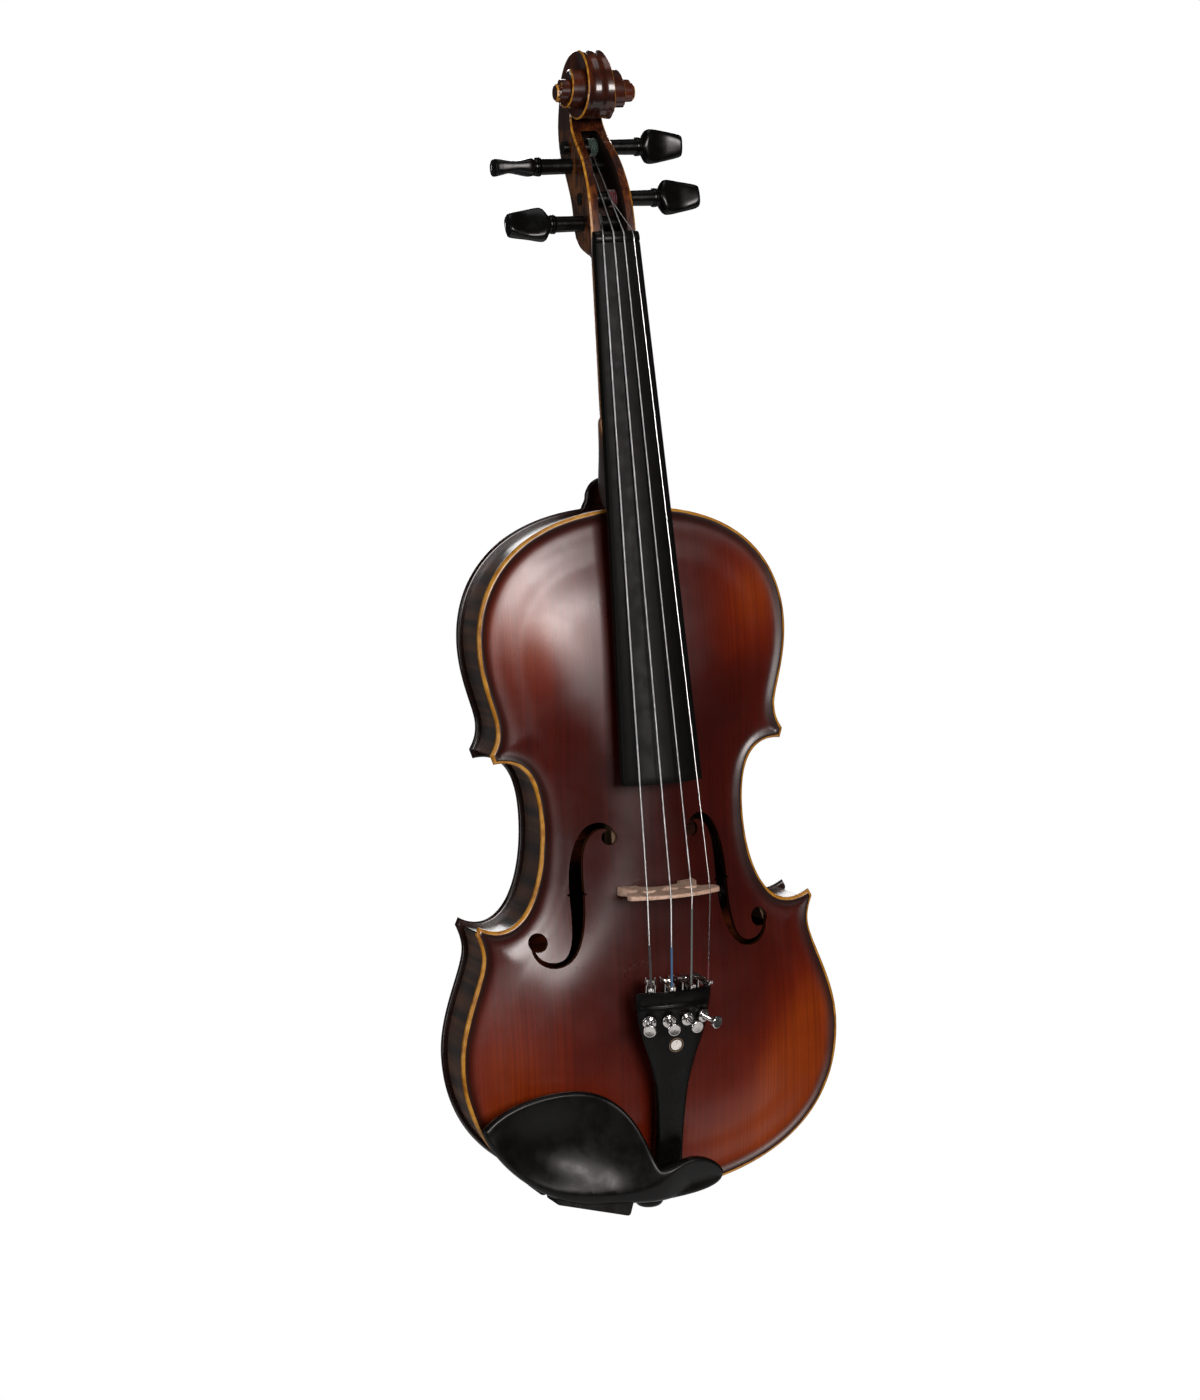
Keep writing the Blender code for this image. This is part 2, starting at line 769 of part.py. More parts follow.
def make_fingerboard():
    rings = []
    for z in (NUT_Z - GAP, NUT_Z - BOARD_LENGTH):
        half = board_half(z)
        rings.append(arc_ring(z, half, BOARD_RADIUS, crown(z), glue_line(z) - GAP))
    loft("fingerboard", rings, EBONY)
    rings = []
    for z in (NUT_Z, NUT_Z + NUT_WIDTH):
        rings.append(arc_ring(z, 12.0, BOARD_RADIUS, STRING_AT_NUT + 0.7, glue_line(NUT_Z) - GAP))
    loft("nut", rings, EBONY)


def make_pegs():
    for string, sign, (y, z), turn in PEGS:
        rings = []
        for x, thick, wide in PEG_SECTIONS:
            ring = []
            for i in range(16):
                a = 2 * math.pi * i / 16
                ring.append((x, thick * math.cos(a), wide * math.sin(a)))
            rings.append(ring)
        peg = loft(f"{string}_peg", rings, EBONY, (0, y, z))
        peg.rotation_euler = (math.radians(turn), 0, 0 if sign > 0 else math.pi)


def bridge_line(x):
    return BRIDGE_TOP + 1.2 + sagitta(abs(x), BOARD_RADIUS)


def make_bridge():
    rise = arching(0, BRIDGE_Z, TOP_RISE - TOP_THICKNESS + EDGE_THICKNESS)
    foot = -(RIB_HEIGHT / 2 + TOP_THICKNESS + rise) - 0.5
    end = bridge_line(BRIDGE_HALF)
    right = [Vector((x, bridge_line(x))) for x in (0, 4, 8, 12, 16, 20, BRIDGE_HALF)]
    right += chain(
        (
            ((BRIDGE_HALF, end), (25.5, end + 3), (24.5, end + 8), (20.5, end + 8.5)),
            ((20.5, end + 8.5), (15.5, end + 9), (14.5, end + 12), (17.0, end + 15)),
            ((17.0, end + 15), (20.0, foot - 6), (20.8, foot - 3), (20.8, foot + 1.6)),
        ),
        4,
    )
    right += [Vector((20.8, foot + 1.6)), Vector((11.5, foot))]
    right += bezier(((11.5, foot), (12.0, foot - 5), (7.0, foot - 9), (0, foot - 9)), 5, True)
    outline = right + mirrored(right)[1:-1]
    made = slab("bridge", [outline], BRIDGE_Z - 2.3, BRIDGE_Z + 2.3, BRIDGE_MAPLE, "z")
    for vert in made.data.vertices:
        if vert.co.z > 0:
            height = (foot - vert.co.y / MM) / (foot - BRIDGE_TOP)
            vert.co.z -= 3.0 * MM * max(0.0, height)


def tail_front(z):
    t = (z - TAIL_END_Z) / (TAIL_TOP_Z - TAIL_END_Z)
    return TAIL_FRONT[1] + (TAIL_FRONT[0] - TAIL_FRONT[1]) * t


def make_tailpiece(tuner_frames):
    rings = []
    count = 10
    for z, half, thickness, radius in TAIL_SECTIONS:
        front = tail_front(z)
        ring = []
        for i in range(count + 1):
            x = -half + 2 * half * i / count
            ring.append((x, front + sagitta(abs(x), radius), z))
        for i in range(count + 1):
            x = half - 2 * half * i / count
            ring.append((0.9 * x, front + thickness + sagitta(abs(0.9 * x), radius), z))
        rings.append(ring)
    tail = loft("tailpiece", rings, EBONY)
    for string, frame in tuner_frames.items():
        hole = rod(f"{string}_tuner_hole", (0, -12, 0), (0, 16, 0), (2.6, 2.6), None, parent=frame)
        cut(tail, as_cutter(hole))
    for x in (-4, 4):
        low, high = ((x, tail_front(z) + 5.5, z) for z in (0, 14))
        cut(tail, as_cutter(rod(f"gut_hole_{x}", low, high, (1.4, 1.4), None)))


def make_tuner_frames():
    tilt = math.atan((TAIL_FRONT[1] - TAIL_FRONT[0]) / (TAIL_TOP_Z - TAIL_END_Z))
    frames = {}
    for string, degrees in TUNER_ANGLES.items():
        angle = math.radians(degrees)
        x = TUNER_ARC * math.sin(angle)
        y = tail_front(TUNER_Z) + TUNER_ARC * (1 - math.cos(angle))
        empty = bpy.data.objects.new(f"{string}_tuner_frame", None)
        empty.location = Vector((x, y, TUNER_Z + END_BUTTON_OUT)) * MM
        turn = Matrix.Rotation(tilt, 4, "X") @ Matrix.Rotation(angle, 4, "Z")
        empty.rotation_euler = turn.to_euler()
        parts.objects.link(empty)
        frames[string] = empty
    bpy.context.view_layer.update()
    return frames


def make_tuners(frames):
    under = TAIL_THICKNESS + GAP
    for string, frame in frames.items():
        low, high = (-2.6, under, -4), (2.6, under + 1.7, 20)
        bracket = box(f"{string}_tuner_bracket", low, high, CHROME, frame)
        radii = (2.2, 2.2)
        boss = rod(f"{string}_boss", (0, -2.2, 0), (0, under + 0.5, 0), radii, CHROME, parent=frame)
        join(bracket, boss)
        for x in (-2.25, 2.25):
            low, high = (x - 0.45, 1.0, 15.2), (x + 0.45, 11.0, 19.6)
            join(bracket, box(f"{string}_ear_{x}", low, high, CHROME, frame))
        throat = box(f"{string}_throat", (-1.8, 0, 14.4), (1.8, 20, 24), None, frame)
        bore = rod(f"{string}_tuner_bore", (0, -6, 0), (0, 20, 0), (1.4, 1.4), None, parent=frame)
        cut(bracket, as_cutter(throat), as_cutter(bore))
        ring = rod(f"{string}_tuner_nut", (0, -2.0, 0), (0, -0.3, 0), (3.6, 3.6), CHROME, 20, frame)
        hole = rod(f"{string}_nut_bore", (0, -4, 0), (0, 4, 0), (2.45, 2.45), None, parent=frame)
        cut(ring, as_cutter(hole))
        rod(f"{string}_tuner_screw", (0, -9.0, 0), (0, 9.3, 0), (1.2, 1.2), CHROME, parent=frame)
        turned(
            f"{string}_tuner_knob",
            ((0, 2.6), (3.0, 2.6), (3.4, 2.3), (3.4, 0.9), (3.0, 0.6), (1.6, 0.3), (1.6, 0), (0, 0)),
            CHROME,
            (0, -9.3, 0),
            frame,
            (math.radians(90), 0, 0),
        )
        lever = box(f"{string}_tuner_lever", (-1.4, 10.0, -3), (1.4, 11.5, 18.6), CHROME, frame)
        arm = box(f"{string}_arm", (-1.4, -4.6, 16.4), (1.4, 11.5, 18.6), CHROME, frame)
        join(lever, arm)
        notch = box(f"{string}_notch", (-0.7, -8, 15), (0.7, -1.4, 20), None, frame)
        cut(lever, as_cutter(notch))
        move_origin(lever, (0, 9.0, 17.5))


def move_origin(made, point):
    """Puts a piece's origin on its joint axis without moving the piece."""
    shift = Vector(point) * MM - made.location
    made.data.transform(Matrix.Translation(-shift))
    made.location += shift


def make_strings(frames):
    spread = {"g": -1.5, "d": -0.5, "a": 0.5, "e": 1.5}
    peg_places = {string: place for string, _, place, _ in PEGS}
    for string in STRINGS:
        radius = STRING_RADII[string]
        part = spread[string]
        y, z = peg_places[string]
        hook = frames[string].matrix_world @ (Vector((0, -3.2, 19.2)) * MM) / MM
        bridge_x = part * STRING_SPREAD_BRIDGE
        nut_x = part * STRING_SPREAD_NUT
        bridge_y = bridge_line(bridge_x) - radius - 0.2
        nut_y = STRING_AT_NUT + 0.7 + sagitta(abs(nut_x), BOARD_RADIUS) - radius - 0.2
        points = [
            (hook.x, hook.y, hook.z - END_BUTTON_OUT),
            (bridge_x, bridge_y + 0.1, BRIDGE_Z - 2.8),
            (bridge_x, bridge_y, BRIDGE_Z - 1.5),
            (bridge_x, bridge_y, BRIDGE_Z - 0.5),
            (nut_x, nut_y, NUT_Z + 0.3),
            (nut_x, nut_y, NUT_Z + NUT_WIDTH - 0.2),
            (nut_x * 0.98, nut_y + 0.3, NUT_Z + NUT_WIDTH + 0.6),
            (part * 2.2, y - 4.1 - radius - 0.3, z - 1.5),
        ]
        tube(f"{string}_string", points, radius, STEEL)


def make_tail_end(ribs, blocks):
    bore = rod("button_bore", (0, 0, -2), (0, 0, 22), (4.1, 4.1), None, 24)
    as_cutter(bore)
    cut(ribs["lower", "bass"], bore)
    cut(ribs["lower", "treble"], bore)
    cut(blocks["lower_block"], bore)
    turned(
        "end_button",
        (
            (0, 18), (3.6, 18), (3.8, 2.7), (6.6, 2.5), (6.6, 0.6), (4.9, -1.4), (4.9, -3.6),
            (7.2, -5.6), (7.6, -7.5), (6.6, -10.2), (5.0, -END_BUTTON_OUT), (0, -END_BUTTON_OUT),
        ),
        EBONY,
        steps=16,
    )
    box("saddle", (-17, -EDGE_FACE - 3.2, -0.2), (17, -RIB_HEIGHT / 2 - GAP, 5.6), EBONY, bevel=1.2)
    near = -EDGE_FACE - 4.6
    half_loop = [(4.0, tail_front(z) + 5.5, z) for z in (11.0, 6.4)]
    half_loop += [(4.1, near, 4.0), (4.6, near, 0.5), (5.2, near + 1.2, -1.6)]
    half_loop += [(6.4, -8, -2.5)]
    turns = [i * math.pi / 6 for i in range(7)]
    loop = half_loop + [(6.4 * math.cos(a), 6.4 * math.sin(a), -2.5) for a in turns]
    loop += [(-x, y, z) for x, y, z in reversed(half_loop)]
    tube("tailgut", loop, 0.9, NYLON)


def chinrest_front(x, z):
    """Depth of the chinrest's middle surface: over the tailpiece, and a shallow cup to its left."""
    over = -45.0
    rim = -37.0
    cup = 8.0 * math.exp(-(((x + 58) / 26) ** 2) - ((z - 34) / 20) ** 2)
    t = smooth_step((x + 62) / 52)
    return rim + (over - rim) * t + cup


def make_chinrest():
    outline = chain(CHINREST, 7)
    shape = bmesh.new()
    bmesh.ops.create_grid(shape, x_segments=20, y_segments=10, size=0.5)
    for vert in shape.verts:
        x = -110 + (vert.co.x + 0.5) * 142
        z = -5 + (vert.co.y + 0.5) * 76
        vert.co = Vector((x, chinrest_front(x, z), z)) * MM
    bmesh.ops.recalc_face_normals(shape, faces=shape.faces)
    mesh = bpy.data.meshes.new("chinrest")
    shape.to_mesh(mesh)
    shape.free()
    rest = add("chinrest", mesh, EBONY)
    shell = rest.modifiers.new("shell", "SOLIDIFY")
    shell.thickness = CHINREST_THICKNESS * MM
    shell.offset = 0.0
    boolean(rest, as_cutter(slab("chinrest_trim", [outline], -70, 0, None)), "INTERSECT")
    (x0, z0), (x1, z1) = BARRELS
    along = Vector((x1 - x0, z1 - z0)).normalized()
    inward = Vector((-along.y, along.x))
    if inward.y < 0:
        inward = -inward
    first = Vector(BARRELS[0]) - 3 * along
    second = Vector(BARRELS[1]) + 3 * along

    def strip(near, far):
        return [first + near * inward, second + near * inward, second + far * inward, first + far * inward]

    foot_outline = strip(-1.9, 13)
    pad = strip(4.5, 8.5)
    riser = slab("chinrest_riser", [foot_outline], -40, -EDGE_FACE - 2.2, EBONY)
    for vert in riser.data.vertices:
        x, y, z = vert.co / MM
        if y < -30:
            vert.co.y = (chinrest_front(x, z) + 0.5) * MM
    join(rest, riser)
    slab("chinrest_cork", [pad], -EDGE_FACE - 1.9, -EDGE_FACE - GAP, CORK)
    foot = slab("chinrest_foot", [foot_outline], EDGE_FACE + 1.2, EDGE_FACE + 3.4, BLACK_METAL)
    for side, (x, z) in zip(("inner", "outer"), BARRELS):
        leg = (1.6, 1.6)
        join(rest, rod(f"{side}_upper_leg", (x, -30, z), (x, -4.0, z), leg, BLACK_METAL, 12))
        join(foot, rod(f"{side}_lower_leg", (x, 4.0, z), (x, EDGE_FACE + 2, z), leg, BLACK_METAL, 12))
        outer = (BARREL_RADIUS, BARREL_RADIUS)
        barrel = rod(f"{side}_barrel", (x, -9.5, z), (x, 9.5, z), outer, BLACK_METAL)
        hole = rod(f"{side}_barrel_bore", (x, -15, z), (x, 15, z), (1.75, 1.75), None, 16)
        cut(barrel, as_cutter(hole))


def main():
    top = make_body()
    ribs = make_ribs()
    sections = HEEL + ((RIB_HEIGHT / 2 + 1, 10.5, 370.4),)
    rings = [heel_ring(*section, GAP) for section in sections]
    heel_clearance = as_cutter(loft("heel_clearance", rings, None))
    slots = make_linings(heel_clearance)
    blocks = make_blocks(slots, heel_clearance)
    cut(top, heel_clearance)
    for side, _ in SIDES:
        cut(ribs["upper", side], heel_clearance)
    cut(top, as_cutter(box("saddle_notch", (-17.4, -40, -3), (17.4, -10, 6.0), None)))
    make_inside()
    make_neck()
    make_fingerboard()
    make_pegs()
    make_bridge()
    frames = make_tuner_frames()
    make_tailpiece(frames)
    make_tuners(frames)
    make_strings(frames)
    make_tail_end(ribs, blocks)
    make_chinrest()


main()
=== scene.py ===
"""The looks of a violin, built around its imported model.

Lengths are millimetres in the body's frame: x to the treble side, y from the front (-y) to the back with 0
at the middle of the ribs, z up from the lower edge of the body. lifted() puts points into the model's frame.
The stage (camera, floor and lights) is in metres.
"""

import json
import math

import bmesh
import bpy
import numpy as np
from mathutils import Matrix, Vector
from mathutils.geometry import delaunay_2d_cdt


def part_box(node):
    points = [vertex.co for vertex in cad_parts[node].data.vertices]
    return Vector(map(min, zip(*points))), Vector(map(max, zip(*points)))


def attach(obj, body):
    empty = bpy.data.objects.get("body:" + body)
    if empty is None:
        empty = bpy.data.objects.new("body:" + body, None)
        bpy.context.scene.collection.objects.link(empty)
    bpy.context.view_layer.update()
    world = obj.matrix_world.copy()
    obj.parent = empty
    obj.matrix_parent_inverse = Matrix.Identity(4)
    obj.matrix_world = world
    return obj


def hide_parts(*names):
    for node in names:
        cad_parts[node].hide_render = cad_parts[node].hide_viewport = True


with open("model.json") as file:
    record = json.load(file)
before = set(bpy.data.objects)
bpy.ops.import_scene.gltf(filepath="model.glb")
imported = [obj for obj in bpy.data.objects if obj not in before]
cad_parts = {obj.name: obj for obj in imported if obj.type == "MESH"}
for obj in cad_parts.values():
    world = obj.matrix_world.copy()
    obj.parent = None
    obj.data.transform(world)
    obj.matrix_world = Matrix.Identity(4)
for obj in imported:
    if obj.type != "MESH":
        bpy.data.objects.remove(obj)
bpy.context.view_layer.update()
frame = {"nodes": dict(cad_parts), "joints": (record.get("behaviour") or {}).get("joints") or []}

MM = 0.001
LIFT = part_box("back_plate")[0].z / MM
JOINTS = {joint["name"]: joint for joint in frame["joints"]}
STRINGS = ("g", "d", "a", "e")
SIDES = (("bass", -1), ("treble", 1))

# Body
RIB_HALF = 14.5
EDGE = 4.0
RIB_INSET = 3.0
TOP_ARCH = 13.5
BACK_ARCH = 12.0
BODY_LENGTH = 356.0
BUTTON_RADIUS = 10.5
BUTTON_TOP = 371.0

# Neck
NUT_Z = 488.5
BOARD_LENGTH = 270.0
BOARD_HALF = (12.0, 21.3)
BOARD_RADIUS = 42.0
BOARD_SIDE = 4.3
CROWN_AT_NUT = -22.7
NECK_SLOPE = math.tan(math.radians(6.5))
STRING_AT_NUT = -23.6
NUT_CROWN = STRING_AT_NUT + 0.7
NECK_ROOT_Z = 347.5

# Strings and fittings
BRIDGE_Z = 165.0
BRIDGE_TOP = -66.2
BRIDGE_HALF = 23.5
BRIDGE_THICK = 4.6
STRING_RADII = {"g": 0.42, "d": 0.40, "a": 0.35, "e": 0.25}
STRING_PLACE = {"g": -1.5, "d": -0.5, "a": 0.5, "e": 1.5}
SPREAD_NUT = 5.5
SPREAD_BRIDGE = 11.3
TAIL_TOP_Z = 113.0
TAIL_END_Z = 8.0
TAIL_FRONT = (-55.5, -30.0)
TAIL_SLOPE = (TAIL_FRONT[0] - TAIL_FRONT[1]) / (TAIL_TOP_Z - TAIL_END_Z)
TAIL_DOT_Z = 84.5
TAIL_RIDGE_Z = 104.5

UPPER_BOUT = (
    ((0, 356), (60.9, 356), (84, 324.2), (84, 291)),
    ((84, 291), (84, 271.7), (76.4, 256.8), (76.4, 249)),
    ((76.4, 249), (76.4, 244.2), (77.3, 240.9), (80.4, 236.2)),
)
WAIST = (
    ((78.8, 231.4), (57.7, 234.4), (55.7, 211.7), (55.7, 198)),
    ((55.7, 198), (55.7, 168.4), (67.2, 136.6), (91.4, 150.4)),
)
LOWER_BOUT = (
    ((93.3, 146.6), (91.8, 143.5), (90.2, 139), (90.2, 134.5)),
    ((90.2, 134.5), (90.2, 123.1), (104.5, 102.2), (104.5, 79)),
    ((104.5, 79), (104.5, 22.9), (54.6, 0), (0, 0)),
)
SOUND_HOLE = (
    ((20.5, 190), (21, 197.5), (29.5, 199), (34.5, 191.5)),
    ((34.5, 191.5), (38.5, 185.5), (39.8, 176), (39.8, 163)),
    ((39.8, 163), (39.8, 146), (41.5, 128.5), (52.5, 127.4)),
    ((52.5, 127.4), (59.5, 126.7), (64.6, 131.5), (64.3, 139)),
)
SOUND_HOLE_WIDTHS = (1.6, 4.8, 7.2, 3.0, 1.6)
SOUND_HOLE_EYES = (((22.5, 190.3), 3.9), ((61.2, 139.2), 4.9))
NICK_X = 39.8
NICK_Z = 162.0
# Half width and height of the lower bout, the waist and the upper bout
WIDEST = ((104.5, 79), (57, 198), (84, 291))


# Plane geometry


def bezier(piece, steps, last=False):
    """Points of a cubic curve; last adds its end point."""
    p = np.array(piece, float)
    t = np.linspace(0, 1, steps + 1)[: steps + 1 if last else steps, None]
    s = 1 - t
    return s**3 * p[0] + 3 * s * s * t * p[1] + 3 * s * t * t * p[2] + t**3 * p[3]


def chain(pieces, steps, last=True):
    """Cubic curves one after the other."""
    runs = [bezier(piece, steps) for piece in pieces[:-1]]
    return np.concatenate(runs + [bezier(pieces[-1], steps, last)])


def through(points, steps):
    """A smooth curve through points of any dimension (Catmull-Rom), steps to a span."""
    p = np.array(points, float)
    p = np.concatenate([[2 * p[0] - p[1]], p, [2 * p[-1] - p[-2]]])
    found = []
    for i in range(1, len(p) - 2):
        t = np.linspace(0, 1, steps, endpoint=False)[:, None]
        a, b, c, d = p[i - 1 : i + 3]
        square = (2 * a - 5 * b + 4 * c - d) * t**2
        cube = (3 * b - a - 3 * c + d) * t**3
        found.append(0.5 * (2 * b + (c - a) * t + square + cube))
    return np.concatenate(found + [p[-2:-1]])


def length_along(line):
    """The distance run along a line at each of its points."""
    return np.concatenate([[0], np.cumsum(np.linalg.norm(np.diff(line, axis=0), axis=1))])


def spaced(line, step):
    """The line's points at an even distance, its two ends kept."""
    line = np.array(line, float)
    run = length_along(line)
    count = max(2, int(round(run[-1] / step)) + 1)
    place = np.linspace(0, run[-1], count)
    return np.column_stack([np.interp(place, run, column) for column in line.T])


def closed(line):
    return np.concatenate([line, line[:1]])


def mirrored(points):
    return points[::-1] * (-1, 1)


def distance(points, line, batch=4000):
    """Distance of each point to a polyline, worked out in batches to save memory."""
    a, b = line[:-1], line[1:]
    ab = b - a
    size = np.maximum((ab**2).sum(1), 1e-12)
    found = np.empty(len(points))
    for start in range(0, len(points), batch):
        p = points[start : start + batch, None, :]
        t = np.clip(((p - a) * ab).sum(2) / size, 0, 1)
        found[start : start + batch] = np.sqrt(((p - a - t[..., None] * ab) ** 2).sum(2).min(1))
    return found


def inside(points, loop):
    """Which points lie inside a closed loop."""
    a, b = loop, np.roll(loop, -1, axis=0)
    x, z = points[:, 0:1], points[:, 1:2]
    with np.errstate(divide="ignore", invalid="ignore"):
        crossing = a[:, 0] + (z - a[:, 1]) / (b[:, 1] - a[:, 1]) * (b[:, 0] - a[:, 0])
    hits = ((a[:, 1] > z) != (b[:, 1] > z)) & (x < crossing)
    return hits.sum(1) % 2 == 1


def directions(line, cyclic=False):
    """The unit direction of a line at each of its points."""
    if cyclic:
        along = np.roll(line, -1, axis=0) - np.roll(line, 1, axis=0)
    else:
        along = np.gradient(line, axis=0)
    return along / np.maximum(np.linalg.norm(along, axis=1, keepdims=True), 1e-9)


def left_of(along):
    return np.column_stack([-along[:, 1], along[:, 0]])


def offset(line, depth, cyclic=True):
    """The line moved to the left of its direction by depth."""
    return line + depth * left_of(directions(line, cyclic))


def clear_of(points, line, gap):
    """The points that lie farther than gap from a line."""
    return points[distance(points, line) > gap]


def inner_rings(outline, depths, clockwise=False):
    """Copies of a closed outline at several depths inside it, without the points that crossed over."""
    rim = closed(outline)
    sign = -1 if clockwise else 1
    return [clear_of(offset(outline, sign * depth), rim, depth - 0.04) for depth in depths]


def circle(steps):
    """Points of the unit circle."""
    angles = np.linspace(0, 2 * np.pi, steps, endpoint=False)
    return np.column_stack([np.cos(angles), np.sin(angles)])


def smooth_step(t):
    t = np.clip(t, 0, 1)
    return t * t * (3 - 2 * t)


def half_outline(steps):
    return np.concatenate([chain(UPPER_BOUT, steps), chain(WAIST, 2 * steps), chain(LOWER_BOUT, steps)])


def whole(half):
    return np.concatenate([half, mirrored(half)[1:-1]])


FINE = whole(half_outline(16))


def spaced_outline(half, step):
    """An even half outline, with its corners kept, and its mirror image."""
    return whole(np.concatenate([spaced(run, step) for run in half]))


HALF_RUNS = [chain(UPPER_BOUT, 40), chain(WAIST, 60), chain(LOWER_BOUT, 40)]
OUTLINE = spaced_outline(HALF_RUNS, 1.0)
BUTTON_TURN = np.linspace(0, math.pi / 2, 16)
BUTTON = BUTTON_RADIUS * np.column_stack([np.sin(BUTTON_TURN), np.cos(BUTTON_TURN)])
BUTTON += (0, BUTTON_TOP - BUTTON_RADIUS)
UPPER_RUN = HALF_RUNS[0]
BACK_RUNS = [np.concatenate([BUTTON, UPPER_RUN[UPPER_RUN[:, 0] > BUTTON_RADIUS]]), *HALF_RUNS[1:]]
BACK_OUTLINE = spaced_outline(BACK_RUNS, 1.0)


def arching(points, rise, away):
    """Rise of a plate's inner face over the ribs; away is each point's distance to the outline."""
    x, z = points[:, 0], points[:, 1]
    (lower_half, lower_z), (waist_half, waist_z), (upper_half, upper_z) = WIDEST
    lower = lower_half + (waist_half - lower_half) * smooth_step((z - lower_z) / (waist_z - lower_z))
    upper = waist_half + (upper_half - waist_half) * smooth_step((z - waist_z) / (upper_z - waist_z))
    half = np.where(z < waist_z, lower, upper)
    along = 1 - np.abs(2 * z / BODY_LENGTH - 1) ** 3
    across = 1 - 0.7 * (x / half) ** 2
    channel = smooth_step((away - 5) / 36)
    return rise * np.maximum(0, along) * np.maximum(0, across) * channel


# Meshes


def lifted(points):
    return (np.asarray(points, float) + (0, 0, LIFT)) * MM


def make(name, points, faces, material, body="root", node=None, slot=None, values=None, sharp=38.0):
    """A mesh piece from points in the body's frame that rides on a body and may replace a CAD node."""
    mesh = bpy.data.meshes.new(name)
    mesh.from_pydata(lifted(points).tolist(), [], [list(map(int, face)) for face in faces])
    for label, numbers in (values or {}).items():
        layer = mesh.attributes.new(label, "FLOAT", "POINT")
        layer.data.foreach_set("value", np.asarray(numbers, np.float32))
    clean(mesh)
    mesh.shade_smooth()
    mesh.set_sharp_from_angle(angle=math.radians(sharp))
    mesh.materials.append(material)
    made = placed(name, mesh)
    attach(made, body)
    if node:
        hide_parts(node)
    return made


def clean(mesh):
    """Merges doubled points and turns all faces outwards."""
    shape = bmesh.new()
    shape.from_mesh(mesh)
    bmesh.ops.remove_doubles(shape, verts=shape.verts, dist=1e-7)
    bmesh.ops.recalc_face_normals(shape, faces=shape.faces)
    shape.to_mesh(mesh)
    shape.free()


def placed(name, data):
    """A new object in the scene."""
    made = bpy.data.objects.new(name, data)
    bpy.context.scene.collection.objects.link(made)
    return made


def skin(rings, cyclic=True, caps=True):
    """Points and faces of a surface over rings of equally many points."""
    rings = [np.asarray(ring, float) for ring in rings]
    count = len(rings[0])
    faces = []
    for i in range(len(rings) - 1):
        for j in range(count if cyclic else count - 1):
            k = (j + 1) % count
            faces.append((i * count + j, i * count + k, (i + 1) * count + k, (i + 1) * count + j))
    if caps:
        last = (len(rings) - 1) * count
        faces.append(tuple(range(count)))
        faces.append(tuple(range(last, last + count)))
    return np.concatenate(rings), faces


def joined(*shapes):
    """Several (points, faces) as one."""
    points, faces, start = [], [], 0
    for some_points, some_faces in shapes:
        points.append(some_points)
        faces += [tuple(i + start for i in face) for face in some_faces]
        start += len(some_points)
    return np.concatenate(points), faces


def triangles(loops, points, keep):
    """Triangulates plane points with closed or open constraint lines; keep(centres) picks the triangles."""
    coords, edges = [], []
    for line, is_closed in loops:
        start = len(coords)
        coords += [Vector(p) for p in line]
        edges += [(start + i, start + i + 1) for i in range(len(line) - 1)]
        if is_closed:
            edges.append((start + len(line) - 1, start))
    coords += [Vector(p) for p in points]
    verts, _, faces, *_ = delaunay_2d_cdt(coords, edges, [], 0, 1e-6)
    verts = np.array([tuple(v) for v in verts])
    faces = np.array([tuple(face) for face in faces])
    faces = faces[keep(verts[faces].mean(1))]
    used, index = np.unique(faces, return_inverse=True)
    return verts[used], index.reshape(-1, 3)


def rim_edges(faces):
    """Edges with one triangle only, in that triangle's direction."""
    edges = np.concatenate([faces[:, [0, 1]], faces[:, [1, 2]], faces[:, [2, 0]]])
    key = np.sort(edges, axis=1)
    _, index, count = np.unique(key, axis=0, return_index=True, return_counts=True)
    return edges[index[count == 1]]


def lattice(low, high, step):
    """Points of a triangular lattice in a box."""
    rows = []
    for i, z in enumerate(np.arange(low[1], high[1], step * 0.866)):
        x = np.arange(low[0] + (i % 2) * step / 2, high[0], step)
        rows.append(np.column_stack([x, np.full(len(x), z)]))
    return np.concatenate(rows)


def two_sides(faces, count):
    """The faces of a plane triangulation and of its copy that starts at count, turned over."""
    return [tuple(f) for f in faces] + [tuple(f[::-1] + count) for f in faces]


def slab_faces(faces, count):
    """The faces of a slab: both its sides and the wall round its rims."""
    return two_sides(faces, count) + [(a, a + count, b + count, b) for a, b in rim_edges(faces)]


def slab_mesh(plane, faces, front, back):
    """A shell between two heights (y) over one plane triangulation."""
    points = np.concatenate([np.column_stack([plane[:, 0], y, plane[:, 1]]) for y in (front, back)])
    return points, slab_faces(faces, len(plane))


def between(outline, holes):
    """A test for points inside the outline and outside its holes."""

    def keep(centres):
        kept = inside(centres, outline)
        for hole in holes:
            kept &= ~inside(centres, hole)
        return kept

    return keep


def turned(profile, centre, axis, steps=40, wobble=None):
    """A profile of (radius, height) points turned about an axis; wobble(angle, i) scales a radius."""
    axis = Vector(axis).normalized()
    side = axis.orthogonal().normalized()
    other = axis.cross(side)
    rings = []
    for i, (radius, height) in enumerate(profile):
        ring = []
        for k in range(steps):
            a = 2 * math.pi * k / steps
            r = max(radius, 1e-4) * (wobble(a, i) if wobble else 1)
            ring.append(Vector(centre) + axis * height + (side * math.cos(a) + other * math.sin(a)) * r)
        rings.append(ring)
    return skin(rings)


def tube(line, radius, sides=12):
    """A round tube along a line, with capped ends."""
    line = np.asarray(line, float)
    along = directions(line)
    side = Vector(along[0]).orthogonal().normalized()
    angles = 2 * np.pi * np.arange(sides) / sides
    rings = []
    for p, t in zip(line, along):
        t = Vector(t)
        side = (side - t * side.dot(t)).normalized()
        other = t.cross(side)
        rings.append([p + np.array(side * math.cos(a) + other * math.sin(a)) * radius for a in angles])
    return skin(rings)


